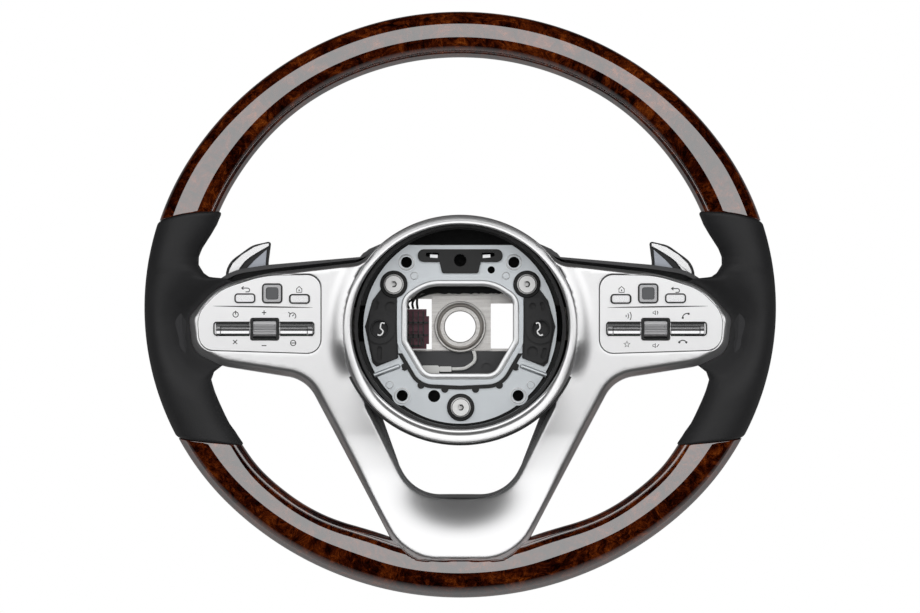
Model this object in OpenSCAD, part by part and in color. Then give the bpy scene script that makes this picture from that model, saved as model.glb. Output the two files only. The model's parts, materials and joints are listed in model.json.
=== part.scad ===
// Car steering wheel with wood and leather rim, shown with its hub open.
// The driver sits at -Y, +Z is up, and the origin is the middle of the column bore.

/* [Rim] */
// Overall width of the rim
wheel_w = 380; // [360:1:400]
// Top of the rim above the column bore
wheel_top = 190.3; // [182:0.1:198]
// Bottom of the rim below the column bore
wheel_bottom = 163.4; // [160:0.1:170]
// Radius of the rim's sides
side_r = 165; // [160:1:170]
// Height of the widest point of the rim
side_z = 11.6; // [8:0.1:16]
// How far the rim's centre plane stands in front of the column bore
rim_front = 42; // [40:0.5:46]
// Depth of the rim from front to back
rim_depth = 33; // [31:0.5:36]
// Width of the rim at the top
rim_w_top = 28.7; // [27:0.1:31]
// Width of the rim at the bottom
rim_w_bottom = 31; // [29:0.1:33]
// Width of the rim at the ends of the grips
rim_w_grip = 34; // [32:0.1:36]
// Width of the grips beside the spokes
grip_w_mid = 29.4; // [28:0.1:31]
// How far the leather stands proud of the wood
wood_step = 1.2; // [0.5:0.1:2]
// Height of the upper seam between wood and leather
seam_up = 68; // [60:0.5:76]
// Depth of the lower seam below the column bore
seam_down = 70; // [64:0.5:76]
// Radius of the armature's ring inside the rim
skeleton_r = 5.5; // [4.5:0.1:6.5]
// Radius of the foam round that ring
foam_r = 10; // [9:0.1:11]
// How far the middle of the foam lies inside the rim's outline
core_inset = 15; // [14.5:0.1:16]

/* [Hub ring] */
// Width of the ring at its sides
ring_side_w = 6.5; // [5:0.1:8]
// How much less the opening's half height is than the ring's outer radius
ring_top_w = 10; // [9:0.1:12]
// Outer radius of the ring
ring_out_r = 71.8; // [70:0.1:74]
// How far the ring's centre lies below the column bore
ring_drop = 1.9; // [1:0.1:2.5]
// How far the ring's face stands in front of the column bore
ring_front = 50; // [48:0.5:53]

/* [Spoke trim] */
// How far the spokes' face stands in front of the column bore
trim_front = 46; // [45:0.5:48]
// Wall of the trim moulding
trim_wall = 2.4; // [1.8:0.1:3]
// Depth of the trim's edge walls
trim_depth = 10; // [8:0.5:11]
// Width of the bevel along the trim's lower edges
bevel = 3.4; // [2:0.1:4.5]
// How far the foot of the V stands in front of the spokes' face
foot_rise = 9; // [6:0.5:10]
// Bottom of the V foot below the column bore
foot_z = 142.4; // [140:0.1:144]
// Bottom of the V window below the column bore
window_z = 101; // [98:0.5:104]

/* [Button panels] */
// Thickness of a panel
panel_t = 2.2; // [1.6:0.1:3]
// How far a panel's face stands in front of the trim's face
panel_proud = 0.4; // [0:0.1:0.8]
// How far a button's face stands in front of its panel
key_proud = 1.2; // [0.6:0.1:2]
// Travel of a push button
key_travel = 1; // [0.6:0.1:1.4]
// Travel of a touchpad
pad_travel = 0.5; // [0.3:0.1:0.8]
// Radius of a roller
roller_r = 5.2; // [4.6:0.1:5.8]
// Length of a roller
roller_l = 13.4; // [11:0.1:14]

/* [Paddles] */
// Distance of a paddle's hinge pin from the middle
paddle_pin_x = 97; // [96:0.5:100]
// Radius of a paddle's hinge pin
paddle_pin_r = 1.5; // [1.2:0.1:2]
// Thickness of a paddle
paddle_t = 4; // [3:0.1:5]

/* [Hub] */
// Radius of the column bore
bore_r = 9.4; // [8:0.1:11]
// Outer radius of the hub boss
boss_r = 15.3; // [14:0.1:17]
// Depth of the hub boss behind the column bore's middle
boss_back = 18; // [14:0.5:22]
// Room between the horn plate and the top of the ring's opening
plate_room = 3.2; // [2:0.1:4]
// Thickness of the horn plate
plate_t = 2; // [1.5:0.1:2.5]
// How far the horn plate's face stands in front of the column bore
plate_front = 18; // [16:0.5:20]
// Travel of the horn plate
horn_travel = 1.5; // [1:0.1:2]
// Radius of the shoulder screws' heads
screw_head_r = 6; // [5:0.1:7]
// Radius of the shoulder screws' shanks
screw_shank_r = 3; // [2.5:0.1:3.5]

/* [Rear cover] */
// Wall of the rear cover
cover_wall = 2.5; // [2:0.1:3]
// Back of the rear cover behind the column bore's middle
cover_back = 14; // [12:0.5:18]
// Back face of the spokes in front of the column bore's middle
spoke_back = 16; // [14:0.5:18]
// Radius of the opening for the steering column
column_open_r = 38; // [36:0.5:42]

/* [Hidden] */

$fn = 48;
gap = 0.3;
rim_y = -rim_front;
trim_y = -trim_front;
split_y = trim_y + trim_depth;
panel_y = trim_y - panel_proud;
plate_y = -plate_front;
ring_in_x = ring_out_r - ring_side_w;
ring_in_z = ring_out_r - ring_top_w;
plate_r = ring_in_z - plate_room;
plate_back_y = plate_y + plate_t;
hub_web_y = 2;
hub_web_t = 6;

// Centres and radii of the rim's arcs, which meet with a common tangent
side_x = wheel_w / 2 - side_r;
top_rise = wheel_top - side_r;
bottom_rise = wheel_bottom - side_r;
top_z = (pow(top_rise, 2) - pow(side_x, 2) - pow(side_z, 2)) / (2 * (top_rise - side_z));
top_r = wheel_top - top_z;
low_z = (pow(side_x, 2) + pow(side_z, 2) - pow(bottom_rise, 2)) / (2 * (side_z + bottom_rise));
low_r = wheel_bottom + low_z;
join_up = atan2(side_z - top_z, side_x);
join_low = atan2(side_z - low_z, side_x);

// Which arc holds the outline where its outward normal points at angle t
function arc_x(t) = t > join_up && t < 180 - join_up ? 0
    : t >= join_low && t <= join_up ? side_x
    : t >= 180 - join_up && t <= 180 - join_low ? -side_x : 0;
function arc_z(t) = t > join_up && t < 180 - join_up ? top_z
    : t >= join_low && t <= join_up || t >= 180 - join_up && t <= 180 - join_low ? side_z : low_z;
function arc_r(t) = t > join_up && t < 180 - join_up ? top_r
    : t >= join_low && t <= join_up || t >= 180 - join_up && t <= 180 - join_low ? side_r : low_r;
function turn_of(t) = t < -90 ? t + 360 : t;
function rim_x(t, inset) = let (w = turn_of(t)) arc_x(w) + (arc_r(w) - inset) * cos(w);
function rim_z(t, inset) = let (w = turn_of(t)) arc_z(w) + (arc_r(w) - inset) * sin(w);

// Normal angle at which a level seam meets the side arc, for a point this far inside the outline
function seam_angle(z, inset) = asin((z - side_z) / (side_r - inset));
function smooth_step(u) = let (v = min(1, max(0, u))) v * v * (3 - 2 * v);
function mix_of(a, b, u) = a + (b - a) * u;
function power_cos(a, e) = sign(cos(a)) * pow(abs(cos(a)), e);
function power_sin(a, e) = sign(sin(a)) * pow(abs(sin(a)), e);

// One ring of a hollow rim shell: outer points, then the round hollow for the foam
section_n = 20;
section_e = 0.9;
hollow_r = (foam_r + 2 * gap) / cos(180 / section_n);
function ring_points(u, t0, t1, width, proud) = [
    for (k = [0 : 2 * section_n - 1])
        let (
            a = (k + 0.5) * 360 / section_n,
            outer = k < section_n,
            t_mid = mix_of(seam_of(t0, core_inset), seam_of(t1, core_inset), u),
            w = width(t_mid),
            near = w / 2 * (1 + power_cos(a, section_e)),
            inset = outer ? near + proud(t_mid) * power_cos(a, section_e)
                : core_inset + hollow_r * cos(a),
            y = outer ? (rim_depth / 2 + proud(t_mid)) * power_sin(a, section_e) : hollow_r * sin(a),
            t = mix_of(seam_of(t0, inset), seam_of(t1, inset), u))
        [rim_x(t, inset), rim_y + y, rim_z(t, inset)]];

// An end is given by its seam's height and its side: 1 right, -1 left, -2 left reached from below
function seam_of(end, inset) = let (a = seam_angle(end[0], inset))
    end[1] == 1 ? a : end[1] == -1 ? 180 - a : -180 - a;

module rim_shell(t0, t1, rings, width, proud) {
    n = 2 * section_n;
    pts = [for (i = [0 : rings]) each ring_points(i / rings, t0, t1, width, proud)];
    outer_faces = [for (i = [0 : rings - 1], k = [0 : section_n - 1])
        let (a = i * n + k, b = i * n + (k + 1) % section_n)
        each [[a, b, a + n], [b, b + n, a + n]]];
    inner_faces = [for (i = [0 : rings - 1], k = [0 : section_n - 1])
        let (a = i * n + section_n + k, b = i * n + section_n + (k + 1) % section_n)
        each [[a, a + n, b], [b, a + n, b + n]]];
    end_faces = [for (k = [0 : section_n - 1], i = [0, rings])
        let (
            a = i * n + k, b = i * n + (k + 1) % section_n,
            c = a + section_n, d = b + section_n)
        each i == 0 ? [[a, c, b], [b, c, d]] : [[a, b, c], [b, d, c]]];
    polyhedron(points = pts, faces = concat(outer_faces, inner_faces, end_faces), convexity = 6);
}

// Widths of the rim along its outline
function upper_width(t) = mix_of(rim_w_top, rim_w_grip - wood_step, smooth_step((abs(t - 90) - 30) / 45));
function lower_width(t) = mix_of(rim_w_bottom, rim_w_grip - wood_step, smooth_step((abs(t + 90) - 12) / 48));
function grip_width(t) = let (a = t > 90 ? 180 - t : t)
    a > 3 ? mix_of(grip_w_mid, rim_w_grip, smooth_step((a - 8) / 13))
        : mix_of(grip_w_mid, rim_w_grip, smooth_step((3 - a) / 20));
function wood_proud(t) = -wood_step / 2;
function leather_proud(t) = 0;

// Places a flat outline, drawn as X across and Z up, between two depths
module plate(y0, y1) {
    rotate([90, 0, 0]) translate([0, 0, -y1]) linear_extrude(height = y1 - y0, convexity = 8) children();
}
// Places a top view, drawn as X across and Y deep, between two heights
module slab(z0, z1) {
    translate([0, 0, z0]) linear_extrude(height = z1 - z0, convexity = 6) children();
}
// Places a side view, drawn as Y deep and Z up, between two values of X
module rib(x0, x1) {
    translate([x0, 0, 0]) rotate([90, 0, 90]) linear_extrude(height = x1 - x0, convexity = 6) children();
}
// Turns a profile, drawn as radius and Y, about the column's axis moved to x and z
module turned(x = 0, z = 0) {
    translate([x, 0, z]) rotate([-90, 0, 0]) rotate_extrude(convexity = 6) children();
}
module rod(x, z, r, y0, y1) {
    translate([x, y1, z]) rotate([90, 0, 0]) cylinder(r = r, h = y1 - y0);
}
module both_sides() {
    children();
    mirror([1, 0, 0]) children();
}
module on_side(side) {
    if (side > 0) children();
    else mirror([1, 0, 0]) children();
}
// A straight-sided outline whose corners [x, z, radius] are rounded with true tangent arcs
function unit(v) = v / norm(v);
function corner_arc(p, q, s, steps) =
    let (
        a = unit([p[0] - q[0], p[1] - q[1]]), b = unit([s[0] - q[0], s[1] - q[1]]),
        half = acos(max(-1, min(1, a * b))) / 2,
        cut = q[2] / tan(half),
        start = [q[0], q[1]] + a * cut,
        centre = [q[0], q[1]] + unit(a + b) * q[2] / sin(half),
        from = atan2(start[1] - centre[1], start[0] - centre[0]),
        turn_way = a[0] * b[1] - a[1] * b[0] > 0 ? -1 : 1)
    q[2] == 0 ? [[q[0], q[1]]]
        : [for (i = [0 : steps]) let (w = from + turn_way * i / steps * (180 - 2 * half))
            centre + q[2] * [cos(w), sin(w)]];
module rounded(pts, steps = 6) {
    n = len(pts);
    polygon([for (i = [0 : n - 1]) each corner_arc(pts[(i + n - 1) % n], pts[i], pts[(i + 1) % n], steps)]);
}
module rounded_box(x, z, w, h, r, steps = 4) {
    translate([x, z]) rounded([[-w / 2, -h / 2, r], [w / 2, -h / 2, r], [w / 2, h / 2, r],
        [-w / 2, h / 2, r]], steps);
}
module oval(rx, rz, steps = 96) {
    polygon([for (i = [0 : steps - 1]) [rx * cos(i * 360 / steps), rz * sin(i * 360 / steps)]]);
}

// Outline of the right-hand half of the side spoke and V leg, from the ring outwards and down
foot_x = 33.7;
// The corners are drawn for a spoke from 71.8 to 163, and stretch with the ring and the wheel
drawn_start = 71.8;
drawn_end = 163;
spoke_end = wheel_w / 2 - 27;
function along(x) = ring_out_r + (x - drawn_start) * (spoke_end - ring_out_r) / (drawn_end - drawn_start);
function stretched(pts) = [for (p = pts) [along(p[0]), each [for (i = [1 : len(p) - 1]) p[i]]]];
leg_top = [along(92.6), -31.7];
spoke_corners = concat([[46, 52, 0], [59, 39.5, 14]],
    stretched([[116, 32.5, 90], [147, 24.5, 40], [163, 5, 24], [160.5, -15, 13], [143, -23.7, 30]]),
    [[leg_top[0], leg_top[1], 22], [foot_x, -foot_z, 34], [0, -foot_z, 0], [0, -60, 0], [40, -40, 0]]);
window_top = [58.6, -41.7];
window_corners = [[window_top[0], window_top[1], 0], [27.8, -window_z, 26], [0, -window_z, 0], [0, -50, 0]];
panel_corners = stretched([[84, 31.3, 8], [118, 30.8, 60], [144, 22.4, 30], [158, 8, 16],
    [156.5, -13.6, 9], [84, -15.8, 8]]);

module ring_disc(grow = 0) {
    translate([0, -ring_drop]) circle(r = ring_out_r + grow, $fn = 120);
}
module hub_opening(grow = 0) {
    oval(ring_in_x + grow, ring_in_z + grow);
}
module spoke_outline(grow = 0) {
    offset(delta = grow) both_sides() rounded(spoke_corners);
}
module window_outline(grow = 0) {
    difference() {
        offset(delta = grow) both_sides() rounded(window_corners);
        ring_disc(-grow);
    }
}
module trim_outline(grow = 0) {
    difference() {
        spoke_outline(grow);
        window_outline(-grow);
    }
}
module panel_outline(grow = 0) {
    offset(delta = grow) rounded(panel_corners);
}

// Keeps the foot of the V in front, rising to meet the rim
foot_start = 96;
module foot_side(back, out = 0) {
    polygon([[trim_y - out, -foot_start + 12], [trim_y - out, -foot_start],
        [trim_y - 2.2 - out, -foot_start - 18], [trim_y - foot_rise - out, -foot_z - 1],
        [trim_y - foot_rise + back, -foot_z - 1], [trim_y - 2.2 + back, -foot_start - 18],
        [trim_y + back, -foot_start], [trim_y + back, -foot_start + 12]]);
}

// One metallised moulding: ring, side spokes and V, with its edges turned back
module spoke_trim() color([0.82, 0.82, 0.83]) difference() {
    union() {
        difference() {
            union() {
                plate(trim_y + 1.2, trim_y + trim_wall) trim_outline();
                plate(trim_y, trim_y + 1.3) trim_outline(-bevel);
            }
            rib(-80, 80) polygon([[-80, -foot_start], [0, -foot_start], [0, -200], [-80, -200]]);
        }
        intersection() {
            plate(trim_y - 20, split_y) trim_outline();
            rib(-80, 80) foot_side(trim_wall);
        }
        intersection() {
            plate(trim_y, split_y - gap) difference() {
                trim_outline();
                trim_outline(-trim_wall);
            }
            rib(-200, 200) polygon([[-60, 60], [0, 60], [0, -foot_start - 14], [-60, -foot_start - 14]]);
        }
        ring_bezel();
    }
    plate(trim_y - 20, split_y + 1) hub_opening();
    both_sides() plate(trim_y - 1, trim_y + trim_wall + 1) panel_outline(gap);
}
// The raised ring, with its rounded face and its lip into the well
module ring_bezel() {
    translate([0, 0, -ring_drop]) turned() polygon([
        [ring_out_r - 12, split_y - gap], [ring_out_r - 12, -ring_front + 2.5], [ring_out_r - 7, -ring_front],
        [ring_out_r - 3.2, -ring_front - 0.4], [ring_out_r - 0.8, -ring_front + 1.2],
        [ring_out_r, -ring_front + 3.6], [ring_out_r, split_y - gap]]);
}

// Outline of everything behind the spokes, a little wider than the trim along the top
band_corners = concat([[46, 56, 0], [58, 44, 12]],
    stretched([[116, 37.4, 90], [142, 33.5, 30], [157.5, 14, 22], [158, -14, 13], [142, -21.5, 30]]),
    [[leg_top[0] - 1.6, leg_top[1] + 1, 22], [foot_x + 2, -foot_start - 28, 8], [0, -foot_start - 28, 0],
    [0, -60, 0], [40, -40, 0]]);
module band_outline(grow = 0) {
    difference() {
        offset(delta = grow) both_sides() rounded(band_corners);
        offset(delta = -grow - 3.5) window_outline();
    }
}
hub_r = ring_out_r - 2.6;
module hub_disc(grow = 0) {
    translate([0, -ring_drop]) circle(r = hub_r + grow, $fn = 96);
}
// The back of the spokes rises from the hub to the rim
module spoke_back_view(grow = 0) {
    polygon([[-170, split_y], [170, split_y], [170, -spoke_back - 6 + grow], [150, -spoke_back + grow],
        [94, -spoke_back + grow], [78, 2 + grow], [60, cover_back - 2 + grow], [-60, cover_back - 2 + grow],
        [-78, 2 + grow], [-94, -spoke_back + grow], [-150, -spoke_back + grow],
        [-170, -spoke_back - 6 + grow]]);
}
module leg_back_view(grow = 0) {
    polygon([[split_y, 80], [cover_back - 2 + grow, 80], [cover_back - 2 + grow, -50], [2 + grow, -66],
        [-spoke_back + grow, -84], [-spoke_back + grow, -130], [split_y, -130]]);
}
module cover_solid(grow = 0) {
    intersection() {
        plate(split_y, cover_back) band_outline(grow);
        slab(-200, 200) spoke_back_view(grow);
        rib(-200, 200) leg_back_view(grow);
    }
    translate([0, 0, -ring_drop]) turned() polygon([[0, split_y], [hub_r + grow, split_y],
        [hub_r + grow, 0], [hub_r - 8 + grow, cover_back - 2 + grow], [hub_r - 12, cover_back + grow],
        [0, cover_back + grow]]);
}

// Moulded rear cover: a bowl round the hub with an arm behind each spoke
cover_screw_places = [[-47, 21], [47, 21], [0, -53]];
module rear_cover() color([0.2, 0.2, 0.21]) {
    difference() {
        cover_solid();
        difference() {
            translate([0, -0.01, 0]) cover_solid(-cover_wall);
            for (p = cover_screw_places) rod(p[0], p[1], 5, hub_web_y + hub_web_t + gap, cover_back);
        }
        turned() polygon([[0, -50], [column_open_r, -50], [column_open_r, 30], [0, 30]]);
        for (p = cover_screw_places) {
            rod(p[0], p[1], 2.2, -10, 30);
            rod(p[0], p[1], 4, cover_back - 3, 30);
        }
        both_sides() plate(split_y - 1, -spoke_back + 20) arm_passage();
    }
    both_sides() paddle_bracket();
}
// Where an arm of the armature leaves the cover for the rim
module arm_passage() {
    rounded_box(spoke_end - 7, 1, 12, 27, 2);
    translate([foot_x - 7.7, -126]) rounded_box(0, 0, 26, 12, 2);
}

// Ears on the back of the cover that carry a paddle's pin
paddle_y = -8;
paddle_hub_r = 4;
paddle_hub_h = 11;
ear_t = 3;
module paddle_bracket() {
    for (z0 = [paddle_hub_h + gap, -paddle_hub_h - gap - ear_t])
        difference() {
            slab(z0, z0 + ear_t) translate([paddle_pin_x - paddle_hub_r - 0.5, -spoke_back - 0.5])
                square([2 * paddle_hub_r + 1, paddle_y + paddle_hub_r + spoke_back + 0.5]);
            translate([paddle_pin_x, paddle_y, z0 - 1]) cylinder(r = paddle_pin_r + 0.05, h = ear_t + 2);
        }
}

// Cast arms between the hub and the rim ring. The hub's web fits in the bowl of the rear cover
web_r = hub_r - 11.7;
arm_z0 = -8;
arm_z1 = 12;
core_side_x = wheel_w / 2 - core_inset;
core_low_z = -wheel_bottom + core_inset;
module side_arm(grow = 0) {
    slab(arm_z0 - grow, arm_z1 + grow) offset(delta = grow) polygon([[50, hub_web_y], [61, 1],
        [76, -28], [core_side_x - 30, -29], [core_side_x - 12.5, -34.5], [core_side_x, rim_y - 4],
        [core_side_x, rim_y + 4], [core_side_x - 17, -24.5], [core_side_x - 32, -21], [82, -20], [66, 4],
        [60, hub_web_y + hub_web_t], [50, hub_web_y + hub_web_t]]);
}
leg_places = [[82, -6], [leg_top[0] - 21.1, -44], [foot_x - 6.7, -120], [foot_x - 9.7, core_low_z]];
leg_half = 6.5;
module leg_arm(grow = 0) {
    intersection() {
        plate(-60, 0) for (i = [0 : 2]) hull() {
            translate(leg_places[i]) circle(r = leg_half + grow, $fn = 8);
            translate(leg_places[i + 1]) circle(r = leg_half + grow, $fn = 8);
        }
        rib(0, 200) offset(delta = grow) polygon([[-29, 20], [-29, -112], [rim_y - 4, core_low_z],
            [rim_y - 4, core_low_z - 9], [rim_y + 4, core_low_z - 9], [rim_y + 4, core_low_z],
            [-21.5, -114], [-21.5, 20]]);
    }
}
// A closed round bar that follows the rim's arcs all the way round
ring_steps = 48;
module core_ring(bar_r, sides) {
    r = bar_r / cos(90 / sides);
    pts = [for (i = [0 : ring_steps - 1], k = [0 : sides - 1])
        let (t = -90 + i * 360 / ring_steps, a = (k + 0.5) * 360 / sides, inset = core_inset + r * cos(a))
        [rim_x(t, inset), rim_y + r * sin(a), rim_z(t, inset)]];
    walls = [for (i = [0 : ring_steps - 1], k = [0 : sides - 1])
        let (
            j = (i + 1) % ring_steps, m = (k + 1) % sides,
            a = i * sides + k, b = i * sides + m, c = j * sides + k, d = j * sides + m)
        each [[a, b, c], [b, d, c]]];
    polyhedron(points = pts, faces = walls, convexity = 6);
}

screw_places = [[-40.2, 25.8], [40.4, 25.8], [0.3, -48.7]];
window_left = [-33.6, -13.8, 16.3, 30.7];
window_right = [18.6, -13.3, 14.2, 27.4];
pillar_y = -9;
pillar_r = 7.2;
spring_r = 5.2;
wire_r = 0.6;
module hub_window(w, grow = 0) {
    translate([w[0] - grow, w[1] - grow]) square([w[2] + 2 * grow, w[3] + 2 * grow]);
}
// Light-alloy casting: splined boss, web with its windows, arms and the ring inside the rim
module armature() color([0.72, 0.71, 0.69]) difference() {
    union() {
        plate(hub_web_y, hub_web_y + hub_web_t) circle(r = web_r, $fn = 96);
        plate(hub_web_y - 3, hub_web_y + 1) translate([-17.3, -14.3]) square([35.9, 33.1]);
        rod(0, 0, boss_r, hub_web_y - 5, boss_back);
        for (a = [45 : 90 : 315]) rotate([0, -a, 0]) translate([boss_r - 2, hub_web_y + hub_web_t - 0.5, -2])
            cube([22, 5, 4]);
        for (p = screw_places) rod(p[0], p[1], pillar_r, pillar_y, hub_web_y + 1);
        both_sides() side_arm();
        both_sides() leg_arm();
        core_ring(skeleton_r, 8);
    }
    rod(0, 0, bore_r, -40, 40);
    turned() polygon([[bore_r - 0.1, hub_web_y - 6], [bore_r + 1, hub_web_y - 6],
        [bore_r - 0.1, hub_web_y - 3.8]]);
    plate(-40, 40) hub_window(window_left);
    plate(-40, 40) hub_window(window_right);
    for (p = screw_places) {
        rod(p[0], p[1], screw_shank_r + 0.05, pillar_y - 1, hub_web_y + 2);
        translate([0, pillar_y - 1, 0]) turned(p[0], p[1]) translate([spring_r - 1.2, 0]) square([2.4, 3.4]);
    }
    for (p = cover_screw_places) rod(p[0], p[1], 2.15, -10, 30);
}
// Foam moulded round the armature's ring
module foam_core() color([0.25, 0.25, 0.25]) difference() {
    core_ring(foam_r, 12);
    core_ring(skeleton_r + 2 * gap, 8);
    both_sides() side_arm(gap);
    both_sides() leg_arm(gap);
}
module wood_rim_upper() color([0.32, 0.12, 0.05])
    rim_shell([seam_up, 1], [seam_up, -1], 24, function(t) upper_width(t), function(t) wood_proud(t));
module wood_rim_lower() color([0.32, 0.12, 0.05]) difference() {
    rim_shell([-seam_down, -2], [-seam_down, 1], 20, function(t) lower_width(t), function(t) wood_proud(t));
    both_sides() leg_arm(gap);
    plate(-70, trim_y + trim_wall + 2) intersection() {
        spoke_outline(gap);
        translate([-50, -foot_z - 5]) square([100, 30]);
    }
}
module leather_grip(side) color([0.12, 0.12, 0.125]) on_side(side) difference() {
    rim_shell([-seam_down + gap, 1], [seam_up - gap, 1], 11, function(t) grip_width(t),
        function(t) leather_proud(t));
    side_arm(gap);
    plate(-49, -29) rounded_box(spoke_end - 13, -1, 24, 44, 8);
}
module leather_grip_left() leather_grip(-1);
module leather_grip_right() leather_grip(1);

// Black wall round the airbag's well
module well_liner() color([0.06, 0.06, 0.06]) difference() {
    union() {
        plate(split_y, hub_web_y) difference() {
            oval(ring_in_x - 1.5, ring_in_z + 0.2);
            oval(ring_in_x - 3.5, ring_in_z - 1.8);
        }
        plate(-12, -10) difference() {
            oval(ring_in_x - 2, ring_in_z);
            circle(r = plate_r + 0.6, $fn = 96);
        }
    }
    both_sides() slab(arm_z0 - 1, arm_z1 + 1) translate([52, -14]) square([20, 17]);
    both_sides() plate(-36, 3) translate([ring_in_x + 9, -26]) circle(r = 4);
}

// Button panels. All places are given for the right-hand side, and the left is its mirror
back_key = [along(129.4), 17.3, 10.9, 4.3];
home_key = [along(96.6), 16.9, 10.4, 4.1];
touch_key = [along(113), 20.2, 10.4, 10.1];
touch_lens = [along(113), 20.2, 7, 6.8];
roller_place = [along(117.5), -1.3];
frame_w = 17;
frame_h = 13.2;
slot_z = [-5.5, 3.2];
outer_bar = [roller_place[0] + frame_w / 2 + 2 * gap, along(146.8)];
inner_bar = [along(88.6), roller_place[0] - frame_w / 2 - 2 * gap];
bar_gap = 0.75;
panel_back_y = trim_y + trim_wall;
flange_t = 1.2;
flange_reach = 1;
panel_rear_y = panel_back_y + flange_t;
board_y = panel_rear_y + 3;
board_t = 1.6;
key_flange_t = 1;
pivot_y = panel_y + 2.6;
pivot_r = 0.8;
roller_y = panel_y + 1.8;
module key_shape(k, grow = 0, r = 1.2) {
    rounded_box(k[0], k[1], k[2] + 2 * grow, k[3] + 2 * grow, r + max(0, grow));
}
module bar_shape(b, grow = 0) {
    translate([b[0] - grow, slot_z[0] - grow])
        square([b[1] - b[0] + 2 * grow, slot_z[1] - slot_z[0] + 2 * grow]);
}
module pivot_pins(b, r) {
    translate([b[0] - 1.4, pivot_y, (slot_z[0] + slot_z[1]) / 2]) rotate([0, 90, 0])
        cylinder(r = r, h = b[1] - b[0] + 2.8);
}
module button_panel(side) color([0.86, 0.86, 0.87]) on_side(side) {
    difference() {
        union() {
            plate(panel_y, panel_back_y) panel_outline();
            plate(panel_back_y, panel_rear_y) intersection() {
                panel_outline(flange_reach);
                trim_outline(-trim_wall - gap);
            }
        }
        plate(panel_y - 1, panel_rear_y + 1) {
            key_shape(back_key, gap);
            key_shape(home_key, gap);
            key_shape(touch_key, gap);
            bar_shape(outer_bar);
            bar_shape(inner_bar);
            rounded_box(roller_place[0], roller_place[1], frame_w + 2 * gap, frame_h + 2 * gap, 1.5);
        }
        pivot_pins(outer_bar, pivot_r + 0.1);
        pivot_pins(inner_bar, pivot_r + 0.1);
    }
    for (p = stretched([[88, 25], [122, 25.5], [104, 10.5], [150, 8], [89, -11], [147, -11]]))
        rod(p[0], p[1], 1.6, panel_rear_y - 0.1, board_y);
}
module touch_frame(side) color([0.85, 0.85, 0.86]) on_side(side) difference() {
    union() {
        plate(panel_y - 0.8, panel_rear_y) key_shape(touch_key);
        plate(panel_rear_y, panel_rear_y + 0.8) key_shape(touch_key, 1);
    }
    plate(panel_y - 3, panel_rear_y + 3) key_shape(touch_lens, gap);
}
module touchpad(side) color([0.25, 0.27, 0.3]) on_side(side) {
    plate(panel_y - 0.4, panel_rear_y + 1.1) key_shape(touch_lens);
    plate(panel_rear_y + 1.1, panel_rear_y + 2) key_shape(touch_lens, 1);
}
module push_key(k, side) color([0.86, 0.86, 0.87]) on_side(side) {
    plate(panel_y - key_proud, panel_rear_y + gap) key_shape(k);
    plate(panel_y - key_proud - 0.3, panel_y - key_proud + 0.1) key_shape(k, -0.5, 0.6);
    plate(panel_rear_y + gap, panel_rear_y + gap + key_flange_t) key_shape(k, 0.8);
}
module rocker(b, side) color([0.8, 0.8, 0.82]) on_side(side) {
    z0 = slot_z[0] + bar_gap;
    z1 = slot_z[1] - bar_gap;
    zm = (z0 + z1) / 2;
    rib(b[0] + gap, b[1] - gap) polygon([[panel_y + 3.8, z0 + 0.4], [panel_y - 0.6, z0],
        [panel_y - 1.4, z0 + 0.8], [panel_y - 1.1, zm - 1.2], [panel_y - 1.8, zm], [panel_y - 1.1, zm + 1.2],
        [panel_y - 1.4, z1 - 0.8], [panel_y - 0.6, z1], [panel_y + 3.8, z1 - 0.4]]);
    pivot_pins(b, pivot_r);
}
module roller_frame(side) color([0.05, 0.05, 0.05]) on_side(side) difference() {
    plate(panel_y - 1.2, board_y - gap) rounded_box(roller_place[0], roller_place[1], frame_w, frame_h, 1.3);
    translate([roller_place[0] - roller_l / 2 - gap, panel_y - 3,
        roller_place[1] - roller_r - band_proud - gap])
        cube([roller_l + 2 * gap, 20, 2 * (roller_r + band_proud + gap)]);
    translate([roller_place[0] - roller_l / 2 - stub_l - gap, roller_y, roller_place[1]]) rotate([0, 90, 0])
        cylinder(r = stub_r + 0.15, h = roller_l + 2 * (stub_l + gap));
    pivot_pins(outer_bar, pivot_r + 0.1);
    pivot_pins(inner_bar, pivot_r + 0.1);
}
// A barrel with fine grip teeth and a smooth bright band in its middle
roller_teeth = 30;
band_proud = 0.2;
stub_r = 1.2;
stub_l = 0.7;
module roller(side) color([0.7, 0.7, 0.72]) on_side(side)
    translate([roller_place[0] - roller_l / 2, roller_y, roller_place[1]]) rotate([0, 90, 0]) {
        for (x0 = [0, roller_l / 2 + 1.6]) translate([0, 0, x0]) linear_extrude(height = roller_l / 2 - 1.6)
            polygon([for (i = [0 : 2 * roller_teeth - 1])
                let (a = i * 180 / roller_teeth, r = roller_r - (i % 2) * 0.5) [r * cos(a), r * sin(a)]]);
        translate([0, 0, roller_l / 2 - 1.8]) cylinder(r = roller_r + band_proud, h = 3.6);
        translate([0, 0, -stub_l]) cylinder(r = stub_r, h = roller_l + 2 * stub_l);
    }
module circuit_board(side) color([0.1, 0.3, 0.16]) on_side(side)
    plate(board_y, board_y + board_t) difference() {
        panel_outline(-2);
        rounded_box(roller_place[0], roller_place[1], frame_w + 2, frame_h + 2, 2);
    }
module button_panel_left() button_panel(-1);
module button_panel_right() button_panel(1);
module touch_frame_left() touch_frame(-1);
module touch_frame_right() touch_frame(1);
module roller_frame_left() roller_frame(-1);
module roller_frame_right() roller_frame(1);
module circuit_board_left() circuit_board(-1);
module circuit_board_right() circuit_board(1);
module back_button_left() push_key(back_key, -1);
module back_button_right() push_key(back_key, 1);
module home_button_left() push_key(home_key, -1);
module home_button_right() push_key(home_key, 1);
module touchpad_left() touchpad(-1);
module touchpad_right() touchpad(1);
module outer_rocker_left() rocker(outer_bar, -1);
module outer_rocker_right() rocker(outer_bar, 1);
module inner_rocker_left() rocker(inner_bar, -1);
module inner_rocker_right() rocker(inner_bar, 1);
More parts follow.
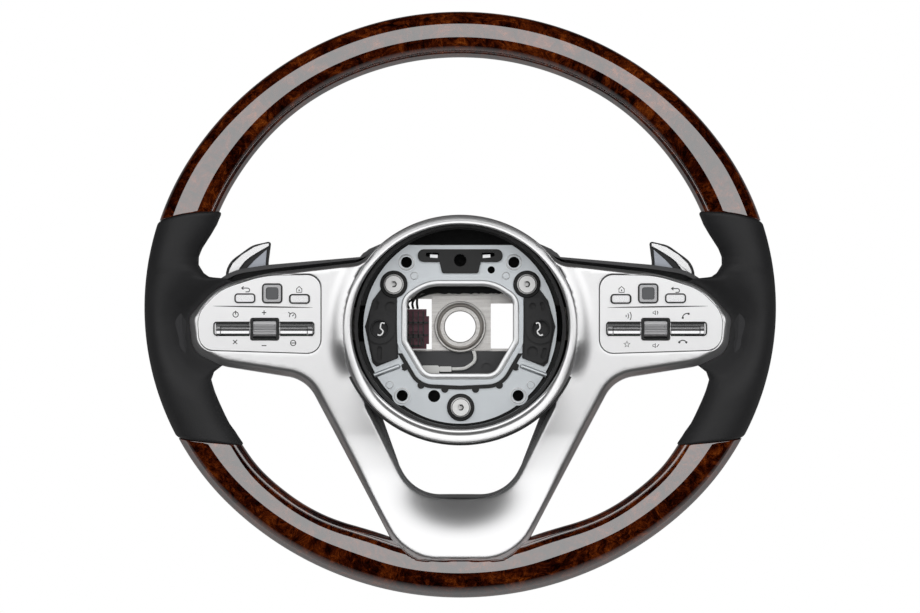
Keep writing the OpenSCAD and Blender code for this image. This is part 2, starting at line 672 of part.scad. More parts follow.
module menu_roller() roller(-1);
module volume_roller() roller(1);

// Shift paddles
blade_corners = [[114.6, 52, 1.5], [126, 49.5, 14], [142, 38, 14], [142.5, 22, 12], [132, 8, 20],
    [110, -5.5, 20], [96, -10, 3], [95, 9, 3], [103.4, 10.4, 2], [112, 20, 10], [116.4, 38, 10]];
module paddle(side) color([0.3, 0.31, 0.33]) on_side(side) difference() {
    union() {
        plate(paddle_y - paddle_t / 2, paddle_y + paddle_t / 2) rounded(blade_corners);
        plate(paddle_y - paddle_t / 2 - 1, paddle_y) difference() {
            rounded(blade_corners);
            translate([-4.2, -2.6]) rounded(blade_corners);
            square([112, 200]);
            square([200, 30]);
        }
        translate([paddle_pin_x, paddle_y, -paddle_hub_h]) cylinder(r = paddle_hub_r, h = 2 * paddle_hub_h);
    }
    translate([paddle_pin_x, paddle_y, -30]) cylinder(r = paddle_pin_r + 0.1, h = 60);
}
module paddle_pin(side) color([0.75, 0.75, 0.76]) on_side(side)
    translate([paddle_pin_x, paddle_y, -paddle_hub_h - gap - ear_t])
        cylinder(r = paddle_pin_r, h = 2 * (paddle_hub_h + gap + ear_t));
module paddle_left() paddle(-1);
module paddle_right() paddle(1);
module paddle_pin_left() paddle_pin(-1);
module paddle_pin_right() paddle_pin(1);

// Pressed horn plate with its opening for the boss, carried on three sprung shoulder screws
opening_half = [[0, 27.5, 0], [20, 26.5, 25], [33.8, 17.5, 9], [33.8, -9, 5], [21.5, -30, 9], [0, -31, 0]];
flange_w = 4.4;
pad_front_y = plate_y - 4;
bush_r = 8.3;
lug_holes = [[32.5, 39.1], [35.1, -41.6]];
lug_hole_r = 3.4;
module opening_outline(grow = 0) {
    offset(delta = grow) both_sides() rounded(opening_half);
}
module plate_outline() {
    intersection() {
        circle(r = plate_r, $fn = 120);
        translate([-80, -80]) square([160, 129.5]);
    }
}
module horn_plate() color([0.8, 0.83, 0.86]) difference() {
    union() {
        plate(plate_y, plate_back_y) plate_outline();
        plate(plate_y - 1.6, plate_y + 0.1) difference() {
            opening_outline(flange_w);
            opening_outline();
        }
        for (s = [-1, 1], p = lug_holes) rod(s * p[0], p[1], 6, plate_y - 0.8, plate_y + 0.1);
        for (s = [-1, 1]) rod(s * 42.7, -35, 2.4, plate_y - 0.5, plate_y + 0.1);
        for (s = [-1, 1]) rod(s * 27.7, 31, 2.4, plate_y - 0.5, plate_y + 0.1);
        both_sides() translate([37.6, plate_y, -24]) rotate([0, 110.3, 0]) {
            cylinder(r = 1.5, h = 15.5);
            sphere(r = 1.5);
        }
    }
    plate(-40, 0) opening_outline();
    for (p = screw_places) {
        rod(p[0], p[1], bush_r - 2, -40, 0);
        rod(p[0], p[1], bush_r + gap, -40, plate_y);
    }
    for (s = [-1, 1], p = lug_holes) rod(s * p[0], p[1], lug_hole_r, -40, 0);
    rod(-15.8, -41.9, 3.7, -40, 0);
    rod(18.8, 34.5, 2.2, -40, 0);
    both_sides() plate(-40, 0) rounded_box(16.9, 43.7, 8, 2.5, 1.2);
    rod(0, 40.3, 3.8, -40, 0);
}
module top_pad() color([0.07, 0.07, 0.07]) difference() {
    plate(plate_y - 2.4, plate_y) {
        rounded_box(0, 43.1, 51.4, 7.8, 3.6);
        rounded([[-12.9, 41, 0], [-10.9, 32.4, 1.5], [10.9, 32.4, 1.5], [12.9, 41, 0]]);
    }
    rod(0, 40.3, 3.8, -40, 0);
    both_sides() plate(-40, 0) rounded_box(16.9, 43.7, 8, 2.5, 1.2);
}
side_pad_corners = [[39.4, 16.6, 3], [49, 17.6, 2], [54.2, 11, 6], [55.6, -1, 30], [54, -12, 20],
    [51.6, -23, 4], [38.9, -19.4, 2]];
pad_bore = [48.6, -1.1];
module side_pad(side) color([0.3, 0.3, 0.31]) on_side(side) difference() {
    union() {
        plate(pad_front_y + 0.6, plate_y) rounded(side_pad_corners);
        plate(pad_front_y - 0.6, plate_y) intersection() {
            translate([pad_bore[0], pad_bore[1]]) circle(r = 9.1);
            rounded(side_pad_corners);
        }
    }
    for (p = screw_places) rod(abs(p[0]), p[1], bush_r + gap + 0.6, -40, 0);
    rod(pad_bore[0], pad_bore[1], 4.8, -40, plate_y - 0.8);
    if (side < 0) {
        rod(42.2, 11.9, lug_hole_r, -40, plate_y - 1);
        translate([50.9, 0, 13]) rotate([0, -18, 0]) plate(-40, plate_y - 1) rounded_box(0, 0, 2.8, 5.4, 1.2);
        plate(-40, plate_y - 1) rounded_box(48.8, -16, 3, 8.6, 1.4);
    } else {
        rod(43.7, -15.2, lug_hole_r, -40, plate_y - 1);
        rod(43.8, 12.6, 2, -40, plate_y - 1);
        translate([50, 0, 12.4]) rotate([0, -18, 0]) plate(-40, plate_y - 1) rounded_box(0, 0, 2.8, 5.4, 1.2);
        translate([50.6, 0, -16]) rotate([0, 14, 0]) plate(-40, plate_y - 1) rounded_box(0, 0, 2.8, 7, 1.3);
    }
}
module side_pad_left() side_pad(-1);
module side_pad_right() side_pad(1);
// Black seal round the lower half of the opening, with its round bumps
bump_places = [[33.7, -24.3], [23.7, -35.3], [9.3, -37.7]];
module plate_gasket() color([0.05, 0.05, 0.05]) plate(plate_y - 1, plate_y) difference() {
    union() {
        intersection() {
            opening_outline(flange_w + 2.6);
            translate([-60, -60]) square([120, 44]);
        }
        both_sides() for (p = bump_places) translate(p) circle(r = 2.2);
    }
    opening_outline(flange_w + gap);
    for (p = screw_places) translate(p) circle(r = bush_r + 1);
    both_sides() translate([37.6, -24]) rotate(-20.3) translate([-2, -2.2]) square([20, 4.4]);
    both_sides() rounded(side_pad_corners);
    translate([-15.8, -41.9]) circle(r = 3.9);
    both_sides() translate(lug_holes[1]) circle(r = 6.3);
}
bush_front_y = plate_y - 2.3;
bush_back_y = plate_back_y + 1.6;
module plate_bushes() color([0.05, 0.05, 0.05]) for (p = screw_places) turned(p[0], p[1])
    polygon([[screw_shank_r + 0.2, bush_front_y], [bush_r - 0.6, bush_front_y], [bush_r, bush_front_y + 0.6],
        [bush_r, plate_y - 0.05], [bush_r - 2.1, plate_y - 0.05], [bush_r - 2.1, plate_back_y + 0.05],
        [bush_r - 0.5, plate_back_y + 0.05], [bush_r - 0.5, bush_back_y],
        [screw_shank_r + 0.2, bush_back_y]]);
// Shoulder screws: a flat head with a drive socket, and a smooth shank into the pillar
module plate_screws() color([0.93, 0.93, 0.93]) for (p = screw_places) difference() {
    turned(p[0], p[1]) polygon([[0, bush_front_y - 3.3], [screw_head_r - 0.8, bush_front_y - 3.3],
        [screw_head_r, bush_front_y - 2.5], [screw_head_r, bush_front_y - gap],
        [screw_shank_r, bush_front_y - gap], [screw_shank_r, hub_web_y], [0, hub_web_y]]);
    translate([p[0], bush_front_y - 1.4, p[1]]) rotate([90, 0, 0]) cylinder(r = 2.1, h = 5, $fn = 6);
}
// A round wire along a curve given by a function of its share of the length
function frame_ring(p, d, r, sides) = let (
        f = unit(d), s = unit(cross(f, abs(f[1]) > 0.9 ? [1, 0, 0] : [0, 1, 0])), u = cross(f, s))
    [for (k = [0 : sides - 1]) p + r * (cos(k * 360 / sides) * s + sin(k * 360 / sides) * u)];
module wire(pts, r, sides = 8) {
    n = len(pts);
    rings = [for (i = [0 : n - 1])
        each frame_ring(pts[i], pts[min(n - 1, i + 1)] - pts[max(0, i - 1)], r, sides)];
    walls = [for (i = [0 : n - 2], k = [0 : sides - 1])
        let (a = i * sides + k, b = i * sides + (k + 1) % sides)
        each [[a, a + sides, b], [b, a + sides, b + sides]]];
    ends = [for (k = [1 : sides - 2]) each [[0, k, k + 1],
        [(n - 1) * sides, (n - 1) * sides + k + 1, (n - 1) * sides + k]]];
    polyhedron(points = rings, faces = concat(walls, ends), convexity = 6);
}
// A smooth curve through hand-picked points
function curve_point(a, b, c, d, u) = 0.5 * (2 * b + (c - a) * u + (2 * a - 5 * b + 4 * c - d) * u * u
    + (3 * b - a - 3 * c + d) * u * u * u);
function curve(p, steps) = let (n = len(p)) [for (i = [0 : n - 2], j = [0 : steps - 1])
    curve_point(p[max(0, i - 1)], p[i], p[i + 1], p[min(n - 1, i + 2)], j / steps)];
function whole_curve(p, steps) = concat(curve(p, steps), [p[len(p) - 1]]);

spring_turns = 2.5;
spring_front_y = bush_back_y + wire_r + 0.05;
spring_back_y = pillar_y - wire_r + 0.2;
spring_steps = spring_turns * 10;
module horn_springs() color([0.8, 0.8, 0.82]) for (p = screw_places) wire([for (i = [0 : spring_steps])
    let (a = i * 36) [p[0] + spring_r * cos(a), mix_of(spring_front_y, spring_back_y, i / spring_steps),
        p[1] + spring_r * sin(a)]], wire_r, 5);
// Bent spring wires that catch the airbag, seen in the bores of the side pads
module retaining_wire(side) color([0.9, 0.9, 0.9]) on_side(side)
    wire(whole_curve([for (p = [[3.2, 3.2], [1, 3.4], [0.4, 0.4], [2.2, -1.6], [0.6, -3.9], [-1.6, -3.6]])
        [pad_bore[0] - p[0] * 0.9, plate_y - 1.7, pad_bore[1] + p[1]]], 3), 0.75, 6);
module retaining_wire_left() retaining_wire(-1);
module retaining_wire_right() retaining_wire(1);

// Harness connector in the left window, with its row of ribs
connector = [window_left[0] + gap, -13.5, 12.8, 24.2];
connector_y = hub_web_y - 7;
module harness_connector() color([0.3, 0.05, 0.12]) {
    plate(connector_y, hub_web_y + hub_web_t + 4) translate([connector[0], connector[1]])
        square([connector[2], connector[3]]);
    for (i = [0 : 4]) plate(connector_y - 1.2, connector_y + 0.1)
        translate([connector[0] + 1, connector[1] + 2 + i * 4.4]) square([connector[2] - 3, 2.2]);
    rib(connector[0] + connector[2] - 0.1, connector[0] + connector[2] + 1.6)
        translate([connector_y + 1, connector[1] + 3]) square([4, 17]);
}
lead_r = 0.8;
lead_start_z = connector[1] + connector[3] + 0.4;
lead_ends = [[-31, -17.2, 20.6], [-28.4, -18.6, 22.4], [-25.8, -20, 24.2]];
module harness_leads() color([0.04, 0.04, 0.04]) for (e = lead_ends)
    wire(whole_curve([[e[0], connector_y + 3, lead_start_z],
        [e[0] - 0.4, connector_y + 1.6, lead_start_z + 4],
        [e[1] - 5, connector_y + 2, e[2] - 1.6], [e[1], connector_y + 3.4, e[2]],
        [e[1] + 9, hub_web_y - lead_r - 0.1, e[2] + 1]], 3), lead_r, 5);
// Dark panel under the boss, the earth wire that lies on it, its terminal and cover
lower_panel_y = hub_web_y - 3;
module lower_panel() color([0.16, 0.16, 0.17]) difference() {
    plate(lower_panel_y, hub_web_y) rounded([[-33, -14.8, 1], [-33, -24, 3], [-22, -37, 4], [-9, -38, 1],
        [9, -38, 1], [22, -37, 4], [33, -24, 3], [33, -14.8, 1]]);
    rod(16, -25, 3, -20, lower_panel_y + 1);
    rod(0, 0, boss_r + gap, -20, 20);
}
earth_wire_r = 1.1;
earth_y = lower_panel_y - earth_wire_r - 0.1;
module earth_wire() color([0.92, 0.92, 0.9])
    wire(whole_curve([for (p = [[8.1, -14.6], [9, -18], [8.2, -21.5], [3.3, -25], [-1, -25.6], [-4.9, -25.7]])
        [p[0], earth_y, p[1]]], 3), earth_wire_r, 7);
module earth_terminal() color([0.9, 0.9, 0.88]) {
    plate(earth_y - 1.3, lower_panel_y - 0.1) rounded_box(-9, -25.7, 7.6, 3.2, 0.8);
    plate(earth_y - 1.9, lower_panel_y - 0.1) rounded_box(-18.2, -26.5, 10.8, 6, 1.2);
}
module cover_screws() color([0.35, 0.35, 0.36]) for (p = cover_screw_places) difference() {
    union() {
        rod(p[0], p[1], 2, hub_web_y + 1, cover_back - 2.8);
        rod(p[0], p[1], 3.6, cover_back - 3, cover_back - 0.6);
    }
    translate([p[0], cover_back + 1, p[1]]) rotate([90, 0, 0]) cylinder(r = 1.4, h = 2.8, $fn = 6);
}

armature();
foam_core();
wood_rim_upper();
wood_rim_lower();
leather_grip_left();
leather_grip_right();
spoke_trim();
rear_cover();
well_liner();
button_panel_left();
button_panel_right();
touch_frame_left();
touch_frame_right();
roller_frame_left();
roller_frame_right();
circuit_board_left();
circuit_board_right();
back_button_left();
back_button_right();
home_button_left();
home_button_right();
touchpad_left();
touchpad_right();
outer_rocker_left();
outer_rocker_right();
inner_rocker_left();
inner_rocker_right();
menu_roller();
volume_roller();
paddle_left();
paddle_right();
paddle_pin_left();
paddle_pin_right();
horn_plate();
top_pad();
side_pad_left();
side_pad_right();
plate_gasket();
plate_bushes();
retaining_wire_left();
retaining_wire_right();
plate_screws();
horn_springs();
harness_connector();
harness_leads();
earth_wire();
earth_terminal();
lower_panel();
cover_screws();
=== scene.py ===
"""Looks of the car steering wheel. The driver sits at -Y, +Z is up and the origin is the column bore.

Lengths in the shape functions are in millimetres and become metres when a mesh is made."""
import json
import math

import bmesh
import bpy
import numpy as np
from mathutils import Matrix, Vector
from mathutils.geometry import delaunay_2d_cdt

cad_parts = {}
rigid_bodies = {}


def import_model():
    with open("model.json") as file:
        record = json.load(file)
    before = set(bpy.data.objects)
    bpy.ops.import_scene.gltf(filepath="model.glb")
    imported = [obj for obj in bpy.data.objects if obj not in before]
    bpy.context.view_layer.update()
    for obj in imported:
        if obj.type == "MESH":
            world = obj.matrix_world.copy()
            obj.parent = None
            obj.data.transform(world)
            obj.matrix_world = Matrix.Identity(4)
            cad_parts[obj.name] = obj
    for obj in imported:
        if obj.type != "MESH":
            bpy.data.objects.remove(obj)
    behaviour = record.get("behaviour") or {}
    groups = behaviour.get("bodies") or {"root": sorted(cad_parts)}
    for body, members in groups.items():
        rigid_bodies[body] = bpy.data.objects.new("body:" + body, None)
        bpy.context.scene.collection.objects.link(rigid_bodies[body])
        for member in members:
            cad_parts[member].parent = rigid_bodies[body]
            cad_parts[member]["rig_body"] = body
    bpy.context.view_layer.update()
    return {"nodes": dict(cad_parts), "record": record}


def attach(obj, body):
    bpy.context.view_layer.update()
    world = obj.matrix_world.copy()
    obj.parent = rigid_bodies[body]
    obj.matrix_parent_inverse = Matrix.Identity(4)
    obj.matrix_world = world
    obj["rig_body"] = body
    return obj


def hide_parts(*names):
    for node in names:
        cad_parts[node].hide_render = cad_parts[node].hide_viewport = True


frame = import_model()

NODES = frame["nodes"]
SIDES = (("left", -1), ("right", 1))
MM = 0.001

# Sizes that follow the model's construction, in millimetres
WHEEL_W = 380.0
WHEEL_TOP = 190.3
WHEEL_BOTTOM = 163.4
SIDE_R = 165.0
SIDE_Z = 11.6
RIM_Y = -42.0
RIM_DEPTH = 33.0
RIM_W_TOP = 28.7
RIM_W_GRIP = 34.0
WOOD_STEP = 1.2
SEAM_UP = 68.0
RING_IN_X = 65.3
RING_IN_Z = 61.8
RING_OUT_R = 71.8
RING_DROP = 1.9
RING_UP = 69.4
RING_DOWN = 67.9
RING_Y = -50.0
TRIM_Y = -46.0
PANEL_Y = -46.4
FOOT_Z = 142.4
WINDOW_Z = 101.0
FOOT_RISE = 9.0


# Meshes from arrays
def link(name, data):
    """A new object for a mesh, a lamp or a camera."""
    made = bpy.data.objects.new(name, data)
    bpy.context.scene.collection.objects.link(made)
    return made


def solid_from(name, points, faces, weld=False):
    """A piece from points in millimetres and faces, turned outwards and on request welded."""
    mesh = bpy.data.meshes.new(name)
    mesh.from_pydata((np.asarray(points) * MM).tolist(), [], faces)
    work = bmesh.new()
    work.from_mesh(mesh)
    if weld:
        bmesh.ops.remove_doubles(work, verts=work.verts, dist=4e-6)
    bmesh.ops.recalc_face_normals(work, faces=work.faces)
    work.to_mesh(mesh)
    work.free()
    return link(name, mesh)


def grid_quads(rows, columns, wrap=False, flip=False):
    """Corner numbers of the quads of a grid of points. Wrap joins the last column to the first."""
    i = np.arange(rows - 1)[:, None]
    j = np.arange(columns if wrap else columns - 1)[None, :]
    beside = (j + 1) % columns
    corners = [i * columns + j, i * columns + beside, (i + 1) * columns + beside, (i + 1) * columns + j]
    quads = np.stack(corners, -1).reshape(-1, 4)
    return quads[:, ::-1] if flip else quads


def grid_piece(name, points, flip=False):
    """A smooth piece from rows of points in millimetres, each row a closed loop."""
    mesh = bpy.data.meshes.new(name)
    quads = grid_quads(*points.shape[:2], True, flip)
    mesh.from_pydata((points.reshape(-1, 3) * MM).tolist(), [], quads.tolist())
    mesh.validate()
    mesh.polygons.foreach_set("use_smooth", np.full(len(mesh.polygons), True))
    mesh.update()
    return link(name, mesh)


def smooth_step(u):
    v = np.clip(u, 0.0, 1.0)
    return v * v * (3 - 2 * v)


def mix(a, b, u):
    return a + (b - a) * u


# The rim's outline: arcs with common tangents, followed by the angle of the outward normal
side_x = WHEEL_W / 2 - SIDE_R
top_rise = WHEEL_TOP - SIDE_R
bottom_rise = WHEEL_BOTTOM - SIDE_R
top_z = (top_rise ** 2 - side_x ** 2 - SIDE_Z ** 2) / (2 * (top_rise - SIDE_Z))
top_r = WHEEL_TOP - top_z
low_z = (side_x ** 2 + SIDE_Z ** 2 - bottom_rise ** 2) / (2 * (SIDE_Z + bottom_rise))
low_r = WHEEL_BOTTOM + low_z
join_up = math.degrees(math.atan2(SIDE_Z - top_z, side_x))
join_low = math.degrees(math.atan2(SIDE_Z - low_z, side_x))


def rim_point(t, inset):
    """X and Z of the point this far inside the outline, where the normal points at t degrees."""
    w = np.where(t < -90, t + 360, t)
    on_top = (w > join_up) & (w < 180 - join_up)
    on_right = (w >= join_low) & (w <= join_up)
    on_left = (w >= 180 - join_up) & (w <= 180 - join_low)
    on_side = on_right | on_left
    centre_x = np.where(on_right, side_x, np.where(on_left, -side_x, 0.0))
    centre_z = np.where(on_top, top_z, np.where(on_side, SIDE_Z, low_z))
    radius = np.where(on_top, top_r, np.where(on_side, SIDE_R, low_r))
    a = np.radians(w)
    return centre_x + (radius - inset) * np.cos(a), centre_z + (radius - inset) * np.sin(a)


def power(v, e):
    return np.sign(v) * np.abs(v) ** e


# Materials
class Shade:
    """A node's output socket. Arithmetic on it adds the Math nodes that it needs."""

    def __init__(self, nodes, socket):
        self.nodes = nodes
        self.socket = socket

    def calc(self, operation, *others, clamp=False):
        settings = {"operation": operation, "use_clamp": clamp}
        return self.nodes.node("ShaderNodeMath", settings, (self, *others))

    def __add__(self, other):
        return self.calc("ADD", other)

    def __mul__(self, other):
        return self.calc("MULTIPLY", other)

    __radd__ = __add__


class Nodes:
    """An empty node tree, with short calls that fill it."""

    def __init__(self, tree):
        self.tree = tree
        tree.nodes.clear()

    def put(self, socket, value):
        if isinstance(value, Shade):
            self.tree.links.new(value.socket, socket)
        elif isinstance(value, (tuple, list)) and len(value) == 3 and socket.type == "RGBA":
            socket.default_value = (*value, 1.0)
        else:
            socket.default_value = value

    def node(self, kind, settings, inputs, out=0):
        """Adds a node. Settings come first, then its sockets by name or by place."""
        made = self.tree.nodes.new(kind)
        for key, value in settings.items():
            if key == "stops":
                ramp = made.color_ramp
                while len(ramp.elements) < len(value):
                    ramp.elements.new(1.0)
                for stop, (place, colour) in zip(ramp.elements, value):
                    stop.position = place
                    stop.color = (*colour, 1.0)
            else:
                setattr(made, key, value)
        pairs = inputs.items() if isinstance(inputs, dict) else enumerate(inputs)
        for key, value in pairs:
            self.put(made.inputs[key], value)
        return Shade(self, made.outputs[out]) if len(made.outputs) else None


LOOKS = {}


class Paint(Nodes):
    """One material, kept in LOOKS, with its Principled shader and short calls for other nodes."""

    def __init__(self, name, **values):
        self.material = bpy.data.materials.new(name)
        LOOKS[name] = self.material
        self.material.use_nodes = True
        super().__init__(self.material.node_tree)
        self.output = self.tree.nodes.new("ShaderNodeOutputMaterial")
        self.shader = self.tree.nodes.new("ShaderNodeBsdfPrincipled")
        self.tree.links.new(self.shader.outputs[0], self.output.inputs[0])
        self.coords = None
        self.set(**values)

    def set(self, **values):
        for key, value in values.items():
            self.put(self.shader.inputs[key.replace("_", " ")], value)

    def place(self, scale=(1.0, 1.0, 1.0)):
        """Object coordinates in metres, stretched by scale."""
        if self.coords is None:
            self.coords = self.node("ShaderNodeTexCoord", {}, {}, "Object")
        return self.node("ShaderNodeMapping", {}, {"Vector": self.coords, "Scale": scale})

    def noise(self, scale, detail=3.0, rough=0.5, warp=0.0, vector=None, out=0):
        return self.node("ShaderNodeTexNoise", {},
                         {"Vector": vector or self.place(), "Scale": scale, "Detail": detail,
                          "Roughness": rough, "Distortion": warp}, out)

    def cells(self, scale, vector=None, feature="F1"):
        return self.node("ShaderNodeTexVoronoi", {"feature": feature},
                         {"Vector": vector or self.place(), "Scale": scale}, "Distance")

    def ramp(self, factor, stops):
        return self.node("ShaderNodeValToRGB", {"stops": stops}, {"Fac": factor})

    def blend(self, factor, a, b):
        return self.node("ShaderNodeMix", {"data_type": "RGBA"}, {0: factor, 6: a, 7: b}, 2)

    def bump(self, height, distance, strength):
        return self.node("ShaderNodeBump", {}, {"Height": height, "Distance": distance,
                                                "Strength": strength})


def burl_wood():
    """Polished burl: swirling red brown over near black, orange flecks, under thick lacquer."""
    p = Paint("burl_wood", Coat_Weight=1.0, Coat_Roughness=0.015, Coat_IOR=2.9, Specular_IOR_Level=0.0)
    bend = p.noise(18.0, 3.0, 0.55, out=1)
    spot = p.node("ShaderNodeVectorMath", {"operation": "MULTIPLY_ADD"},
                  {0: bend, 1: (0.04, 0.04, 0.04), 2: p.place()})
    figure = p.noise(150.0, 6.0, 0.68, 1.6, spot)
    curl = p.noise(420.0, 4.0, 0.72, 2.2, spot)
    eyes = p.cells(190.0, spot)
    patch = p.noise(42.0, 3.0, 0.6, 0.5, spot)
    tone = figure * 0.6 + curl * 0.34 + eyes * 0.12 + patch * 0.35
    wood = p.ramp(tone, ((0.60, (0.005, 0.0008, 0.0006)), (0.69, (0.03, 0.004, 0.001)),
                         (0.78, (0.10, 0.016, 0.0025)), (0.86, (0.22, 0.046, 0.006)),
                         (0.95, (0.40, 0.11, 0.014))))
    p.set(Base_Color=wood, Roughness=0.35 + curl * 0.2)


def grip_leather():
    """Smooth dark leather: a fine pebble of flat cells and shallow creases."""
    p = Paint("grip_leather", IOR=1.4)
    pebble = p.cells(1500.0, feature="SMOOTH_F1")
    cloud = p.noise(60.0, 4.0)
    tone = p.blend(cloud, (0.0165, 0.0165, 0.0175), (0.025, 0.025, 0.0265))
    p.set(Base_Color=tone, Roughness=0.5 + cloud * 0.14,
          Normal=p.bump(pebble * 0.7 + p.noise(700.0) * 0.5, 0.00008, 0.55))


def satin_trim(name="satin_trim", tone=(0.87, 0.87, 0.875), rough=0.28):
    """Satin metallised plastic, with a very fine flake."""
    p = Paint(name, Metallic=0.94, IOR=1.5)
    flake = p.noise(5200.0, 2.0)
    cloud = p.noise(30.0, 2.0)
    lighter = tuple(min(1.0, c * 1.05) for c in tone)
    p.set(Base_Color=p.blend(flake * 0.6 + cloud * 0.4, tone, lighter),
          Roughness=rough + flake * 0.08, Normal=p.bump(flake, 0.000012, 0.5))


def plastic(name, tone, rough=0.45, grain=900.0, depth=0.00004, variation=1.25, **more):
    """Moulded plastic with a fine spark-eroded grain."""
    p = Paint(name, **more)
    grit = p.noise(grain, 3.0, 0.6)
    cloud = p.noise(45.0, 3.0)
    lighter = tuple(min(1.0, c * variation + 0.002) for c in tone)
    p.set(Base_Color=p.blend(cloud, tone, lighter), Roughness=rough + grit * 0.16,
          Normal=p.bump(grit, depth, 0.6))


def metal(name, tone, rough=0.25, grain=700.0, depth=0.00002, metallic=1.0):
    """Bare or plated metal with faint clouds and fine scratches."""
    p = Paint(name, Metallic=metallic)
    scratch = p.noise(grain, 4.0, 0.6, 0.0, p.place((1.0, 1.0, 7.0)))
    cloud = p.noise(55.0, 3.0)
    darker = tuple(c * 0.86 for c in tone)
    p.set(Base_Color=p.blend(cloud, darker, tone), Roughness=rough + scratch * 0.2,
          Normal=p.bump(scratch, depth, 0.5))


def cast_metal():
    """Sand-blasted light-alloy casting, with machined streaks on its boss plate."""
    p = Paint("cast_alloy", Metallic=0.85)
    grit = p.noise(1100.0, 3.0, 0.7)
    streak = p.noise(260.0, 3.0, 0.6, 0.0, p.place((0.15, 1.0, 3.0)))
    tone = p.ramp(streak * 0.7 + grit * 0.3, ((0.3, (0.62, 0.60, 0.575)), (0.7, (0.90, 0.885, 0.865))))
    p.set(Base_Color=tone, Roughness=0.36 + grit * 0.2, Normal=p.bump(grit, 0.00006, 0.6))


def board_lacquer():
    """Green lacquered circuit board with fine lighter tracks."""
    p = Paint("board", Coat_Weight=0.4, Coat_Roughness=0.2)
    tracks = p.node("ShaderNodeTexBrick", {}, {"Vector": p.place((120.0, 120.0, 120.0)),
                    "Color1": (0.01, 0.09, 0.04), "Color2": (0.012, 0.11, 0.05), "Mortar": (0.05, 0.2, 0.09),
                    "Mortar Size": 0.05})
    p.set(Base_Color=tracks, Roughness=0.35 + p.noise(300.0) * 0.2)


cast_metal()
plastic("foam", (0.03, 0.03, 0.032), 0.8, 500.0, 0.0003)
burl_wood()
grip_leather()
satin_trim()
plastic("cover_plastic", (0.045, 0.045, 0.047), 0.42)
plastic("black_plastic", (0.008, 0.008, 0.0085), 0.34)
metal("bright_frame", (0.42, 0.42, 0.43), 0.14, 400.0, 0.000005)
satin_trim("key_metal", (0.78, 0.78, 0.79), 0.24)
plastic("touch_glass", (0.03, 0.033, 0.038), 0.08, 300.0, 0.000003, Coat_Weight=0.8)
# Ink of the printed marks; the same black also paints the shade in each panel's crease and in the gap round
# it
plastic("mark_ink", (0.02, 0.02, 0.021), 0.5)
metal("roller_metal", (0.62, 0.62, 0.63), 0.26)
plastic("hub_foam", (0.006, 0.006, 0.006), 0.8, 260.0, 0.0012)
metal("hub_bead", (0.93, 0.94, 0.95), 0.22, 500.0, 0.00001, 0.8)
metal("boss_cone", (0.30, 0.28, 0.26), 0.4, 500.0, 0.00001, 0.8)
board_lacquer()
satin_trim("paddle_metal", (0.36, 0.38, 0.42), 0.3)
metal("steel_pin", (0.5, 0.5, 0.5), 0.3)
metal("plated_sheet", (0.76, 0.80, 0.83), 0.3, 500.0, 0.000015, 0.85)
plastic("pad_plastic", (0.018, 0.018, 0.019), 0.5)
plastic("black_rubber", (0.012, 0.012, 0.012), 0.55)
metal("spring_steel", (0.85, 0.85, 0.85), 0.18)
metal("screw_zinc", (0.95, 0.95, 0.94), 0.34, 500.0, 0.00001, 0.35)
plastic("connector_red", (0.075, 0.008, 0.022), 0.35)
plastic("black_lead", (0.01, 0.01, 0.01), 0.42)
plastic("white_lead", (0.78, 0.78, 0.76), 0.35, variation=1.1)
plastic("panel_plastic", (0.045, 0.045, 0.048), 0.45)


def dress(piece, look):
    """Gives a piece one of the looks. A material slot of the record has a look of the same name."""
    piece.data.materials.clear()
    piece.data.materials.append(LOOKS[look])


for part in frame["record"]["subparts"]:
    dress(NODES[part["node"]], part["material_slot"])


def body_of(node):
    return NODES[node]["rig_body"]


def stands_for(piece, look, *nodes):
    """Makes a piece take the place of one or more CAD nodes, on their body."""
    added(piece, look, body_of(nodes[0]))
    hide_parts(*nodes)
    return piece


def added(piece, look, body):
    """Adds a small piece of its own to a body."""
    dress(piece, look)
    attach(piece, body)
    return piece


# Outlines with true corner arcs
def rounded(corners, steps, closed=False):
    """Replaces each corner [x, z, radius] by an arc that touches both its sides."""
    pts = []
    n = len(corners)
    for i, (x, z, r) in enumerate(corners):
        if r == 0 or (not closed and i in (0, n - 1)):
            pts.append((x, z))
            continue
        q = np.array([x, z], float)
        a = np.array(corners[i - 1][:2], float) - q
        b = np.array(corners[(i + 1) % n][:2], float) - q
        a /= np.linalg.norm(a)
        b /= np.linalg.norm(b)
        half = math.acos(max(-1.0, min(1.0, float(a @ b)))) / 2
        start = q + a * r / math.tan(half)
        middle = a + b
        centre = q + middle / np.linalg.norm(middle) * r / math.sin(half)
        first = math.atan2(*(start - centre)[::-1])
        way = -1 if a[0] * b[1] - a[1] * b[0] > 0 else 1
        for k in range(steps + 1):
            w = first + way * k / steps * (math.pi - 2 * half)
            pts.append(tuple(centre + r * np.array([math.cos(w), math.sin(w)])))
    return np.array(pts)


def resample(path, count):
    """This many points at even steps along a path."""
    length = np.concatenate([[0.0], np.cumsum(np.linalg.norm(np.diff(path, axis=0), axis=1))])
    at = np.linspace(0, 1, count) * length[-1]
    return np.stack([np.interp(at, length, path[:, 0]), np.interp(at, length, path[:, 1])], -1)


